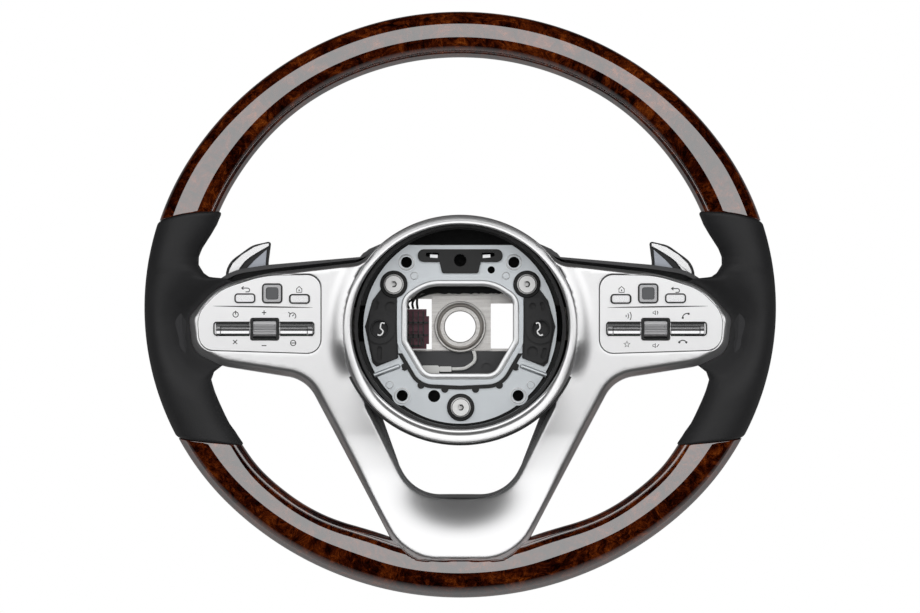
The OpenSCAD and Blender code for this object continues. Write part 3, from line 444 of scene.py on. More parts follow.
# The trim's right half: its outer, ring, upper and window edges, with corners as [x, z, radius]
LEG_TOP = (92.6, -31.7)
FOOT_X = 33.7
outer_edge = rounded([[163, 2, 0], [160.8, -15, 13], [143, -23.7, 30], [*LEG_TOP, 22], [FOOT_X, -FOOT_Z, 34],
                      [0, -FOOT_Z, 0]], 24)
RING_SEAM_R = RING_OUT_R - 1.7
ring_turn = np.linspace(0.86, -0.592, 60)
ring_edge = np.stack([RING_SEAM_R * np.cos(ring_turn), -RING_DROP + RING_SEAM_R * np.sin(ring_turn)], -1)
top_edge = rounded([[*ring_edge[0], 0], [60, 39.0, 14], [116, 32.5, 90], [147, 24.5, 40], [163.2, 6, 8],
                    [163, 2, 0]], 24)
window_edge = rounded([[*ring_edge[-1], 0], [27.8, -WINDOW_Z, 26], [0, -WINDOW_Z, 0]], 30)


def even(path, step):
    """The path again, with points at even steps."""
    length = float(np.linalg.norm(np.diff(path, axis=0), axis=1).sum())
    return resample(path, max(3, int(length / step)))


def loop_of(path, step):
    """A closed path again, with points at even steps."""
    return even(np.concatenate([path, path[:1]]), step)[:-1]


def side_normals(path, way, closed=False):
    """Unit normals of a path of x, z points, to its right for way 1 and to its left for way -1."""
    if closed:
        d = np.roll(path, -1, 0) - np.roll(path, 1, 0)
    else:
        d = np.gradient(path, axis=0)
    d /= np.linalg.norm(d, axis=1)[:, None]
    return way * np.stack([d[:, 1], -d[:, 0]], -1)


def distance_to(path, points):
    """Distance of each point from a path of many short steps, taken in parts to save memory."""
    best = np.full(len(points), 1e9)
    for start in range(0, len(path), 40):
        part = path[start:start + 40]
        gap = np.linalg.norm(points[:, None] - part[None], axis=2).min(1)
        best = np.minimum(best, gap)
    return best


def inside(path, points):
    """Whether each point lies inside a closed outline."""
    x, z = points[:, 0], points[:, 1]
    crossed = np.zeros(len(points), bool)
    for (x0, z0), (x1, z1) in zip(path, np.roll(path, -1, 0)):
        if z0 != z1:
            hit = (z0 > z) != (z1 > z)
            crossed ^= hit & (x < (x1 - x0) * (z - z0) / (z1 - z0) + x0)
    return crossed


# The rim
SECTION_E = 0.9
MID_INSET = 15.0
GROOVE_DEPTH = 0.55
GROOVE_WIDTH = 0.03


def upper_seam(inset):
    """Height of the upper seam, which bows down towards the rim's outer edge."""
    return SEAM_UP + 1.0 - 5.5 * (1 - np.clip(inset / 26.0, 0.0, 1.3)) ** 2


def lower_seam(inset):
    return -66.2 - 4.9 * np.clip(inset / 34.0, 0.0, 1.0) ** 0.6


def seam_of(end, inset):
    """Normal angle of a level seam. End is its height and its side: 1 for the right, -1 for the left
    and -2 for the left reached from below."""
    seam, side = end
    a = np.degrees(np.arcsin((seam(inset) - SIDE_Z) / (SIDE_R - inset)))
    return {1: a, -1: 180 - a, -2: -180 - a}[side]


def section_angles(count, groove):
    """Angles round the section, close together where the groove of the wood lies."""
    a = np.arange(count) * 2 * math.pi / count
    if groove is None:
        return a
    fine = groove + np.linspace(-0.1, 0.1, 17)
    from_groove = np.abs((a - groove + math.pi) % (2 * math.pi) - math.pi)
    return np.sort(np.concatenate([a[from_groove > 0.11], fine]))


def rim_sweep(end0, end1, steps, around, width, proud, web=None, groove=None, lip=0.6, sink=4.0):
    """Sweeps a superellipse along the rim between two seams, with rounded lips at the ends.

    Width is a function of the normal angle, proud how far the section stands out all round. A web
    adds to the inner side alone. The groove is the section angle of a fine joint line."""
    u = np.linspace(0.0, 1.0, steps)
    roll = np.linspace(0.0, math.pi / 2, 9)
    span = abs(seam_of(end1, MID_INSET) - seam_of(end0, MID_INSET)) * math.pi / 180 * (SIDE_R - MID_INSET)
    edge_u = lip * (1 - np.cos(roll)) / span
    edge_s = lip * (1 - np.sin(roll))
    inner = u[(u > edge_u[-1] * 1.3) & (u < 1 - edge_u[-1] * 1.3)]
    # The first and last rings turn inwards and close the ends of the shell
    u_all = np.concatenate([[0.0], edge_u, inner, 1 - edge_u[::-1], [1.0]])[:, None]
    shrink = np.concatenate([[sink + lip], edge_s, np.zeros(len(inner)), edge_s[::-1], [sink + lip]])[:, None]
    a = section_angles(around, groove)[None, :]
    t_mid = mix(seam_of(end0, MID_INSET), seam_of(end1, MID_INSET), u_all)
    w = width(t_mid)
    near = w / 2 * (1 + power(np.cos(a), SECTION_E))
    if web is not None:
        near = near + web(t_mid) * np.clip(np.cos(a), 0, 1) ** 3
    out = proud - shrink
    if groove is not None:
        out = out - GROOVE_DEPTH * np.exp(-((a - groove) / GROOVE_WIDTH) ** 2)
    inset = near + out * power(np.cos(a), SECTION_E)
    y = (RIM_DEPTH / 2 + out) * power(np.sin(a), SECTION_E)
    t = mix(seam_of(end0, inset), seam_of(end1, inset), u_all)
    x, z = rim_point(t, inset)
    return np.stack([x, RIM_Y + y, z], -1)


def upper_width(t):
    """The upper wood's width, narrowest at the top."""
    return mix(RIM_W_TOP, RIM_W_GRIP - WOOD_STEP, smooth_step((np.abs(t - 90) - 30) / 45))


# Width of the lower wood, against the angle from the bottom
LOWER_TURN = (0, 12, 20, 26, 34, 48, 58, 66)
LOWER_WIDTH = (31, 31.2, 33.8, 31.5, 29.4, 29.4, 31.5, 32.8)


def lower_width(t):
    """The lower wood's width, smoothed over a few degrees."""
    off = np.abs(t + 90)
    return sum(np.interp(off + k, LOWER_TURN, LOWER_WIDTH) for k in (-4, -2, 0, 2, 4)) / 5


# Distance of the leather's inner edge from the outline, against the normal angle at the side
GRIP_TURN = (-32.6, -28.6, -26.6, -22.5, -18.6, -15.9, -14.0, -12.5, -11.2, -9.5, 5.0, 6.5,
             6.95, 7.3, 8.1, 9.8, 11.6, 13.5, 15.3, 17.2, 19.1, 21.0)
GRIP_INSET = (31.8, 32.2, 31.8, 32.3, 32.5, 33.0, 36.0, 41.2, 48.0, 56.0, 56.0, 48.0,
              42.3, 37.6, 34.1, 30.2, 29.3, 30.0, 31.5, 32.9, 34.0, 34.0)


def grip_inset(t):
    return np.interp(np.where(t > 90, 180 - t, t), GRIP_TURN, GRIP_INSET)


def grip_width(t):
    return np.minimum(grip_inset(t), RIM_W_GRIP)


def grip_web(t):
    """How far the leather runs inwards past its plain width, towards the spoke."""
    return np.maximum(grip_inset(t) - RIM_W_GRIP, 0.0)


# Level of the pocket in the wood that the foot of the V lies in
POCKET_Y = -43.0
# How far the trim's edge shapes the leather beside it, and how far the leather rises from it
SEAT_REACH = 27.0
SEAT_RISE = 16.5
SEAT_SOFT = 2.6


def foot_pocket(points):
    """Sinks the wood under the foot of the V."""
    x, y, z = np.moveaxis(points, -1, 0)
    edge = resample(outer_edge, 400)[::-1]
    order = np.argsort(-edge[:, 1])
    half = np.interp(-z, -edge[order, 1], edge[order, 0])
    under = smooth_step((half - 2.0 - np.abs(x)) / 1.5) * smooth_step((z + FOOT_Z - 2.5) / 1.5)
    sunk = np.where(y < RIM_Y, under * np.maximum(0, POCKET_Y - y), 0.0)
    return np.stack([x, y + sunk, z], -1)


def trim_seat(points):
    """Lays the leather against the trim: under it inside its outline, and rising away from its edge."""
    x, y, z = np.moveaxis(points, -1, 0)
    outline = np.concatenate([top_edge, outer_edge[1:], [[0, 39.0]]])
    flat = np.stack([np.abs(x).ravel(), z.ravel()], -1)
    away = distance_to(even(np.concatenate([top_edge, outer_edge]), 0.6), flat)
    away = np.where(inside(outline, flat), -away, away).reshape(x.shape)
    lift = SEAT_RISE * (1 - np.clip(1 - away / SEAT_REACH, 0, 1) ** 2.2)
    front = TRIM_Y + 3.4 + np.clip(-away, 0, 3) - np.where(away > 0, lift, 0.0)
    joined_y = SEAT_SOFT * np.logaddexp(y / SEAT_SOFT, front / SEAT_SOFT)
    seated = mix(joined_y, y, smooth_step((away - 12) / 15))
    y = np.where((y < RIM_Y + 2) & (away < SEAT_REACH), seated, y)
    up = np.where(z > 15, 0.14, -0.03) * np.clip(150.0 - np.abs(x), 0, 14)
    return np.stack([x, y, z + up], -1)


# Section angle of the fine joint line in the wood
GROOVE = 5.55
WOOD_OUT = -WOOD_STEP / 2
upper_points = rim_sweep((upper_seam, 1), (upper_seam, -1), 300, 72, upper_width, WOOD_OUT, groove=GROOVE)
stands_for(grid_piece("upper_wood", upper_points), "burl_wood", "wood_rim_upper")
lower_points = rim_sweep((lower_seam, -2), (lower_seam, 1), 460, 96, lower_width, WOOD_OUT, groove=GROOVE)
stands_for(grid_piece("lower_wood", foot_pocket(lower_points)), "burl_wood", "wood_rim_lower")
for side_name, side in SIDES:
    ends = ((lower_seam, 1), (upper_seam, 1)) if side > 0 else ((upper_seam, -1), (lower_seam, -1))
    grip_points = rim_sweep(*ends, 260, 160, grip_width, 0.0, web=grip_web, lip=2.4, sink=1.0)
    grip = grid_piece("leather_" + side_name, trim_seat(grip_points))
    stands_for(grip, "grip_leather", "leather_grip_" + side_name)


# The trim: ring bezel, side spokes and V
PANEL_CORNERS = [[84, 31.3, 8], [118, 30.8, 60], [144, 22.4, 30], [158, 8, 16], [156.5, -13.6, 9],
                 [84, -15.8, 8]]
panel_edge = rounded(PANEL_CORNERS, 24, closed=True)
# The V's roll-off towards its window: middle, flat radius inside it, depth and reach
ROLL_Z = 84.0
ROLL_START = 17.0
ROLL_DEPTH = 17.0
ROLL_REACH = 36.0
# The swell beside the ring
SWELL = 3.72
SWELL_REACH = 11.0
# Height at which the foot begins to rise
FOOT_START = 64.0


def trim_face(x, z):
    """Depth of the trim's face. The foot rises towards the rim, the V rolls off towards its window,
    and beside the ring the face swells to meet it, less and less below the column."""
    x = np.abs(x)
    down = np.clip((-z - FOOT_START) / (FOOT_Z - FOOT_START), 0, 1)
    foot = -FOOT_RISE * down ** 1.5
    below = (z + ROLL_Z) * np.where(z > -ROLL_Z, 0.45, 1.0)
    from_window = np.maximum(np.hypot(0.72 * x, below) - ROLL_START, 0)
    roll = ROLL_DEPTH * np.clip(1 - from_window / ROLL_REACH, 0, 1) ** 2
    from_ring = np.hypot(x, z + RING_DROP) - RING_SEAM_R
    turn = np.degrees(np.arctan2(z + RING_DROP, x))
    swell = -SWELL * (1 - smooth_step(from_ring / SWELL_REACH)) * smooth_step((turn + 24) / 20)
    return TRIM_Y + foot + roll + swell


def filled(outline, holes, step):
    """Fills an outline with holes by triangles of about one size: points and corner numbers."""
    low, high = outline.min(0), outline.max(0)
    columns = np.arange(low[0], high[0], step)
    rows = np.arange(low[1], high[1], step * 0.866)
    gx, gz = np.meshgrid(columns, rows)
    gx = gx + (np.arange(len(rows)) % 2)[:, None] * step / 2
    inner = np.stack([gx.ravel(), gz.ravel()], -1)
    inner = inner[inside(outline, inner)]
    for loop in holes:
        inner = inner[~inside(loop, inner)]
    for loop in (outline, *holes):
        inner = inner[distance_to(loop_of(loop, 0.4), inner) > step * 0.6]
    points, edges = [], []
    for loop in (outline, *holes):
        first = len(points)
        points += loop.tolist()
        edges += [(first + i, first + (i + 1) % len(loop)) for i in range(len(loop))]
    points += inner.tolist()
    verts, _, faces, *_ = delaunay_2d_cdt([Vector(q) for q in points], edges, [], 0, 1e-6)
    verts = np.array([tuple(v) for v in verts])
    faces = np.array([f for f in faces if len(f) == 3])
    middle = verts[faces].mean(1)
    keep = inside(outline, middle)
    for loop in holes:
        keep &= ~inside(loop, middle)
    return verts, faces[keep]


def joined(name, parts):
    """One smooth mesh from several sheets of points and faces, welded where they meet."""
    points, faces, first = [], [], 0
    for verts, polys in parts:
        points.append(verts)
        faces += [tuple(int(i) + first for i in poly) for poly in polys]
        first += len(verts)
    piece = solid_from(name, np.concatenate(points), faces, weld=True)
    polygons = piece.data.polygons
    polygons.foreach_set("use_smooth", np.ones(len(polygons), bool))
    return piece


def edge_rows(path, normals, profile, share):
    """Rows along an edge, each this far inside it and this far behind the face."""
    rows = []
    for reach, back in profile:
        at = path + normals * (reach * share)[:, None]
        rows.append(np.concatenate([at, np.full((len(at), 1), back)], 1))
    return np.stack(rows)


def on_face(rows):
    """Points in space for rows of x, z and depth behind the face."""
    x, z = rows[..., 0], rows[..., 1]
    return np.stack([x, trim_face(x, z) + rows[..., 2], z], -1)


# Edges of the trim's face: reach inside the edge, and depth behind the face
BEVEL_PROFILE = [(0.0, 10.0), (0.0, 4.0), (0.1, 3.5), (0.4, 3.1), (2.9, 0.85), (3.3, 0.55), (3.8, 0.3),
                 (4.4, 0.1), (5.2, 0.0)]
WINDOW_PROFILE = [(0.0, 8.0), (0.0, 2.9), (0.08, 2.5), (0.35, 2.1), (2.0, 0.5), (2.4, 0.22), (2.8, 0.06),
                  (3.3, 0.0)]
POCKET_PROFILE = [(0.0, 3.0), (0.0, 0.5), (0.12, 0.2), (0.4, 0.04), (0.8, 0.0)]
EDGE_STEP = 1.3


def trim_half():
    """The right-hand half: strips along its edges, and triangles between them."""
    outer = np.concatenate([even(top_edge, EDGE_STEP)[:-1], even(outer_edge, EDGE_STEP)])
    start = np.arange(len(outer))
    tip = int(np.argmax(outer[:, 0]))
    share = (0.5 + 0.5 * smooth_step((start - tip + 14) / 14)) * smooth_step(start / 14)
    rows_out = edge_rows(outer, side_normals(outer, 1), BEVEL_PROFILE, share)
    ring_part = even(ring_edge, EDGE_STEP)[:-1]
    inner = np.concatenate([ring_part, even(window_edge, EDGE_STEP)])
    share = smooth_step((np.arange(len(inner)) - len(ring_part)) / 6)
    rows_in = edge_rows(inner, side_normals(inner, -1), WINDOW_PROFILE, share)
    middle = np.linspace(rows_out[-1][-1][:2], rows_in[-1][-1][:2], 24)[1:-1]
    outline = np.concatenate([rows_out[-1][:, :2], middle, rows_in[-1][::-1, :2][:-1]])
    hole = loop_of(panel_edge, EDGE_STEP)
    grown = hole + side_normals(hole, -1, True) * 0.35
    rows_hole = edge_rows(grown, side_normals(grown, -1, True), POCKET_PROFILE, np.ones(len(grown)))
    flat, faces = filled(outline, [rows_hole[-1][:, :2]], 1.6)
    face = np.stack([flat[:, 0], trim_face(flat[:, 0], flat[:, 1]), flat[:, 1]], -1)
    parts = [(face, faces.tolist())]
    for rows, wrap in ((rows_out, False), (rows_in, False), (rows_hole, True)):
        parts.append((on_face(rows).reshape(-1, 3), grid_quads(*rows.shape[:2], wrap).tolist()))
    return parts


def mirrored(parts):
    return [(verts * np.array([-1.0, 1.0, 1.0]), [poly[::-1] for poly in faces]) for verts, faces in parts]


right_half = trim_half()
stands_for(joined("spokes", right_half + mirrored(right_half)), "satin_trim", "spoke_trim")


def ring_outside(turn, more=0.0):
    """The ring's outer edge: lower than a circle at the top and the bottom."""
    high = np.where(np.sin(turn) > 0, RING_UP, RING_DOWN) + more
    return np.stack([(RING_OUT_R + more) * np.cos(turn), -RING_DROP + high * np.sin(turn)], -1)


# The cover's corners in the V window, left one first, and the way they are pulled
COVER_CORNER = (-44.5, -63.5)
CORNER_PULL = (-12.5, 20.0)
CORNER_REACH = 14.0
# Above this height the cover is kept behind the ring
KEEP_UP = 38


def drawn_back(points):
    """Draws the cover's edge back: in the V window to the trim's edge, less and less behind it, and
    above the spokes in behind the ring."""
    # The corners go up into the window's corners
    for side in (1, -1):
        near = np.hypot(points[:, 0] * side - COVER_CORNER[0], points[:, 2] - COVER_CORNER[1])
        pull = np.array([CORNER_PULL[0] * side, 0.0, CORNER_PULL[1]])
        points = points + np.clip(1 - near / CORNER_REACH, 0, 1)[:, None] * pull
    # Above the spokes it stays 1.2 mm inside the ring's edge, near them up to 3.8 mm past it
    radius = np.hypot(points[:, 0], points[:, 2] + RING_DROP)
    edge = ring_outside(np.arctan2(points[:, 2] + RING_DROP, points[:, 0]), -1.2)
    most = np.hypot(edge[:, 0], edge[:, 1] + RING_DROP)
    most = most + 5.0 * np.clip((np.abs(points[:, 0]) - 50) / 4.0, 0, 1)
    above = (points[:, 2] > KEEP_UP) & (radius > most)
    keep = np.where(above, most / np.maximum(radius, 1), 1.0)[:, None]
    drop = [0, 0, RING_DROP]
    points = (points + drop) * np.where([True, False, True], keep, 1.0) - drop
    # The window's outline; its top follows the ring
    arc = ring_outside(np.radians(np.linspace(-33.0, -147.0, 60)), 1.1)
    left = window_edge[:-1] * np.array([-1.0, 1.0])
    loop = even(np.concatenate([arc, left, window_edge[::-1], arc[:1]]), 0.5)
    flat = points[:, [0, 2]]
    gaps = np.linalg.norm(flat[:, None] - loop[None], axis=2)
    nearest = gaps.argmin(1)
    depth = np.where(inside(loop, flat), 1.0, -1.0) * gaps.min(1)
    way = (loop[nearest] - flat) * np.sign(depth)[:, None] / np.maximum(gaps.min(1), 1e-6)[:, None]
    shift = way * np.maximum(3.9 * np.clip((depth + 6.0) / 9.5, 0, 1), depth + 0.4)[:, None]
    return points + np.stack([shift[:, 0], np.zeros(len(shift)), shift[:, 1]], -1)


def cover_back():
    """The rear cover's own mesh with its window edge drawn back."""
    source = NODES["rear_cover"].data
    points = np.array([tuple(v.co) for v in source.vertices]) / MM
    faces = [tuple(poly.vertices) for poly in source.polygons]
    mesh = bpy.data.meshes.new("cover_shell")
    mesh.from_pydata((drawn_back(points) * MM).tolist(), [], faces)
    return link("cover_shell", mesh)


stands_for(cover_back(), "cover_plastic", "rear_cover")

# Across the ring: share of the way from its outer to its inner edge, and depth behind its front
RING_TOP = [(0.0, 13.0), (0.0, 3.4), (0.03, 2.3), (0.1, 1.62), (0.55, 0.7), (0.66, 0.3), (0.76, 0.05),
            (0.9, 0.0), (0.96, 0.15), (0.99, 0.6), (1.0, 1.2), (1.0, 3.0), (1.0, 8.0), (1.0, 13.0)]
RING_SIDE = [(0.0, 13.0), (0.0, 3.6), (0.05, 2.6), (0.12, 1.7), (0.22, 0.8), (0.32, 0.3), (0.45, 0.05),
             (0.65, 0.0), (0.82, 0.1), (0.9, 0.4), (0.96, 1.2), (1.0, 2.6), (1.0, 6.0), (1.0, 13.0)]
RING_LOW = [(0.0, 13.0), (0.0, 1.2), (0.015, 0.4), (0.05, 0.08), (0.1, 0.0), (0.3, 0.14), (0.52, 0.4),
            (0.6, 0.75), (0.72, 1.6), (0.8, 2.2), (0.84, 2.35), (0.93, 2.4), (0.98, 2.8), (1.0, 13.0)]


def ring_rows():
    """The bezel: its outside and inside are ovals, and its profile changes on the way down."""
    turn = np.linspace(0, 2 * math.pi, 288, endpoint=False)
    outer = ring_outside(turn)
    in_x, in_z = RING_IN_X * np.cos(turn), RING_IN_Z * np.sin(turn)
    high = smooth_step((np.sin(turn) - 0.25) / 0.5)
    low = smooth_step((-0.25 - np.sin(turn)) / 0.5)
    rows = []
    for top, beside, under in zip(RING_TOP, RING_SIDE, RING_LOW):
        u, back = (a * high + b * (1 - high - low) + c * low for a, b, c in zip(top, beside, under))
        rows.append(np.stack([mix(outer[:, 0], in_x, u), RING_Y + back, mix(outer[:, 1], in_z, u)], -1))
    return np.stack(rows)


added(grid_piece("ring_bezel", ring_rows(), flip=True), "satin_trim", "wheel")


# Marks, outlines and small plates
def arc_path(x, z, r, first, last, steps=10):
    turns = np.radians(np.linspace(first, last, steps))
    return np.stack([x + r * np.cos(turns), z + r * np.sin(turns)], -1)


def box_path(x, z, half_w, half_h, r):
    """A closed rectangle with round corners."""
    return rounded([[x - half_w, z - half_h, r], [x + half_w, z - half_h, r], [x + half_w, z + half_h, r],
                    [x - half_w, z + half_h, r]], 6, closed=True)


def strokes(name, lines, front, back, look, body):
    """One piece of flat bars along lines of x, z points. Each line is (points, width, closed).
    Front and back are the Y of its two faces."""
    points, faces = [], []
    for path, width, closed in lines:
        path = np.asarray(path, float)
        offset = side_normals(path, 1, closed) * (np.broadcast_to(width, len(path)) / 2)[:, None]
        first, n = len(points), len(path)
        for (x, z), (dx, dz) in zip(path, offset):
            points += [(x + dx, front, z + dz), (x - dx, front, z - dz), (x - dx, back, z - dz),
                       (x + dx, back, z + dz)]
        for i in range(n if closed else n - 1):
            a, b = first + 4 * i, first + 4 * ((i + 1) % n)
            faces += [(a + k, b + k, b + (k + 1) % 4, a + (k + 1) % 4) for k in range(4)]
        if not closed:
            faces += [tuple(range(first, first + 4)), tuple(first + 4 * n - 1 - k for k in range(4))]
    return added(solid_from(name, points, faces), look, body)


def plate_piece(name, outline, front, back, look, body, chamfer=0.3):
    """A small plate with a bevelled edge, cut to a closed outline of x, z points."""
    outline = np.asarray(outline, float)
    x, z = outline.T
    area = float(np.sum(x * np.roll(z, -1) - z * np.roll(x, -1)))
    inner = outline + side_normals(outline, -1 if area > 0 else 1, True) * chamfer
    n = len(outline)
    rows = [(inner, front), (outline, front + chamfer), (outline, back)]
    points = np.concatenate([np.stack([r[:, 0], np.full(n, y), r[:, 1]], -1) for r, y in rows])
    ends = [tuple(range(n)), tuple(range(3 * n - 1, 2 * n - 1, -1))]
    return added(solid_from(name, points, grid_quads(3, n, True).tolist() + ends), look, body)


def line(*points, width=0.55):
    return (np.array(points, float), width, False)


def plus(x, z):
    return [line((x - 1.3, z), (x + 1.3, z)), line((x, z - 1.3), (x, z + 1.3))]


def house(x, z):
    roof = [(x - 1.6, z - 1.5), (x - 1.6, z + 0.5), (x, z + 2.0), (x + 1.6, z + 0.5), (x + 1.6, z - 1.5)]
    return [(np.array(roof), 0.5, True), line((x, z - 0.7), (x, z + 0.1), width=0.8)]


def back_arrow(x, z):
    bow = arc_path(x + 1.4, z - 0.4, 1.2, 90, -60)
    hook = np.concatenate([[(x - 2.2, z + 0.8)], bow, [(x + 0.2, z - 1.5)]])
    return [(hook, 0.55, False), line((x - 1.0, z + 1.7), (x - 2.3, z + 0.8), (x - 1.0, z - 0.1))]


def handset(x, z, turn):
    """A telephone handset, turned by degrees."""
    bow = arc_path(0, -2.0, 2.6, 150, 30, 12)
    ends = (line((-2.6, -0.9), (-1.7, -0.3), width=1.2), line((1.7, -0.3), (2.6, -0.9), width=1.2))
    c, s = math.cos(math.radians(turn)), math.sin(math.radians(turn))
    spin = np.array([[c, s], [-s, c]])
    return [(path @ spin + (x, z), width, False) for path, width, _ in ((bow, 0.6, False), *ends)]


def star(x, z):
    turns = np.radians(90 + 36 * np.arange(10))
    r = np.where(np.arange(10) % 2, 0.85, 2.0)
    return [(np.stack([x + r * np.cos(turns), z + r * np.sin(turns)], -1), 0.4, True)]


def gauge(x, z):
    return [(arc_path(x, z, 1.9, -50, 200, 18), 0.5, False), line((x - 0.3, z), (x + 0.9, z + 0.9)),
            line((x - 2.6, z + 2.3), (x - 1.6, z + 1.5))]


def speaker(x, z, muted):
    cone = [(x - 1.5, z - 0.5), (x - 0.8, z - 0.5), (x, z - 1.3), (x, z + 1.3), (x - 0.8, z + 0.5),
            (x - 1.5, z + 0.5)]
    sound = line((x + 0.8, z - 0.9), (x + 2.2, z + 0.9), width=0.45) if muted else (
        arc_path(x - 0.2, z, 1.6, -40, 40, 6), 0.45, False)
    return [(np.array(cone), 0.4, True), sound]


def voice(x, z):
    return [(arc_path(x - 3.0, z, r, -35, 35, 7), 0.5, False) for r in (1.2, 2.6, 4.2)]


def circle_mark(x, z, r=1.6):
    return [(arc_path(x, z, r, 0, 345, 20), 0.5, True)]


MARKS = {
    "left": (back_arrow(-129.2, 22.6) + house(-96.8, 22.4) + circle_mark(-135.0, 7.5)
             + [line((-135.0, 7.5), (-135.0, 9.8))] + plus(-117.9, 8.7) + gauge(-100.7, 6.6)
             + [line((-136.5, -10.2), (-134.1, -7.8)), line((-136.5, -7.8), (-134.1, -10.2))]
             + [line((-119.3, -11.2), (-116.5, -11.2))] + circle_mark(-100.4, -9.6)
             + [line((-101.8, -9.6), (-99.0, -9.6))]),
    "right": (house(97.0, 22.4) + back_arrow(129.2, 22.3) + voice(101.6, 6.6) + speaker(117.4, 8.6, False)
              + handset(135.2, 7.2, 35) + star(100.2, -10.4) + speaker(117.3, -11.2, True)
              + handset(133.8, -8.6, 0)),
}
# Width along the dark strip of painted shade in each panel's crease, thin at both ends
CREASE_W = 0.08 + 0.72 * np.sin(np.linspace(0, math.pi, 30)) ** 0.6


def rocker_lines(inner_x, outer_x, side):
    """Black shut lines round one rocker, open at the roller, with a bracket at its far end."""
    out = 1 if outer_x > inner_x else -1
    low_x = outer_x - out * 3.0
    bracket_x = outer_x - out * 3.9
    end = np.array([[inner_x, 2.9, 0], [outer_x, 2.9, 1.6], [outer_x, -4.9, 1.6], [low_x, -4.9, 0]])
    inner = np.array([[inner_x, 0.5, 0], [bracket_x, 0.5, 0.5], [bracket_x, -3.9, 0]])
    low = [(outer_x - out * 4.2, -4.3), (inner_x, -4.3)]
    return [(rounded(end, 6) * (side, 1), 0.75, False), (rounded(inner, 4) * (side, 1), 0.4, False),
            (np.array(low) * (side, 1), 0.8, False)]


ROLLER_X = 117.5
ROLLER_Y = -44.6
ROLLER_Z = -1.3
ROLLER_R = 5.2
ROLLER_RIBS = 32
RIB_HEIGHT = 0.16


def roller(name, node, side):
    """A finely ribbed drum on a level axis."""
    turn = np.linspace(0, 2 * math.pi, 288, endpoint=False)
    r = ROLLER_R + RIB_HEIGHT * np.cos(ROLLER_RIBS * turn)
    reach = np.array([-7.2, -7.2, -7.0, -6.6, 6.6, 7.0, 7.2, 7.2])
    size = np.array([0.3, 0.86, 0.95, 1.0, 1.0, 0.95, 0.86, 0.3])[:, None]
    rows = np.stack([np.broadcast_to((side * ROLLER_X + reach)[:, None], (8, 288)),
                     ROLLER_Y + size * r * np.cos(turn), ROLLER_Z + size * r * np.sin(turn)], -1)
    return stands_for(grid_piece(name, rows), "roller_metal", node)


# The opening of the horn plate, the seats of its three screws, and raised rings on it: name, x, z,
# radius, width and the level of the face they lie on
OPENING = ((20, 26.5, 25), (33.8, 17.5, 9), (33.8, -9, 5), (21.5, -30, 9), (-21.5, -30, 9),
           (-33.8, -9, 5), (-33.8, 17.5, 9), (-20, 26.5, 25))
SCREW_SEATS = (("a", -40.2, 25.8), ("b", 40.4, 25.8), ("c", 0.3, -48.7))
PLATE_RINGS = (("lug_a", 32.5, 39.1, 4.5, 0.9, -18.7), ("lug_b", 35.1, -41.6, 4.5, 0.9, -18.7),
               ("dot_a", 27.7, 31.0, 2.1, 0.5, -18.45), ("dot_b", 42.7, -35.0, 2.1, 0.5, -18.45))
PAD_SKIRT = ((48, 22.9), (53.2, 15.9), (57.6, 0.2), (53.2, -21.5), (50.6, -24.1), (37.5, -18.9),
             (38.4, 21.1))
# Radius and level of each row of the boss's seat
BOSS_CONE = ((14.1, -3.1), (14.1, -3.3), (12.6, -3.2), (10.2, -2.4), (9.5, -1.0), (9.5, 0.0), (14.1, 0.0))


def bead(name, path, profile, base, look, body):
    """A raised closed line: the profile gives its reach across the path and its height in front of base."""
    normals = side_normals(path, 1, True)
    rows = []
    for reach, high in profile:
        at = path + normals * reach
        rows.append(np.stack([at[:, 0], np.full(len(at), base - high), at[:, 1]], -1))
    rows.append(rows[0])
    return added(grid_piece(name, np.stack(rows)), look, body)


def bead_profile(width, high):
    a = np.linspace(0, math.pi, 9)
    return list(zip(-width / 2 * np.cos(a), high * np.sin(a))) + [(width / 2, -0.3), (-width / 2, -0.3)]


MAT_R = 62.5
MAT_Y = -6.5
MAT_THICK = 2.0


def well_floor():
    """Black foam mat behind the horn plate, open at the boss plate, its upper edge torn."""
    rng = np.random.default_rng(4)
    rim = arc_path(0, 0, MAT_R, 0, 357, 120)
    torn = np.stack([np.linspace(34, -34, 46), 19.6 + 1.1 * rng.random(46)], -1)
    holes = [loop_of(np.concatenate([torn, [(-34.0, -31.0), (34.0, -31.0)]]), 1.2)]
    holes += [arc_path(x, z, 9.0, 0, 350, 30) for _, x, z in SCREW_SEATS]
    flat, faces = filled(rim, holes, 3.0)
    waves = 0.5 * np.sin(flat[:, 0] * 0.9) * np.cos(flat[:, 1] * 0.7)
    front = np.stack([flat[:, 0], MAT_Y + waves, flat[:, 1]], -1)
    back = front + np.array([0, MAT_THICK, 0])
    n = len(flat)
    sides = []
    at = {tuple(np.round(q, 4)): k for k, q in enumerate(flat)}
    for loop in (rim, *holes):
        keys = [at.get(tuple(np.round(q, 4))) for q in loop]
        for a, b in zip(keys, keys[1:] + keys[:1]):
            if a is not None and b is not None:
                sides.append((a, b, b + n, a + n))
    polys = faces.tolist() + [tuple(int(i) + n for i in f[::-1]) for f in faces] + sides
    return added(joined("well_foam", [(np.concatenate([front, back]), polys)]), "hub_foam", "wheel")


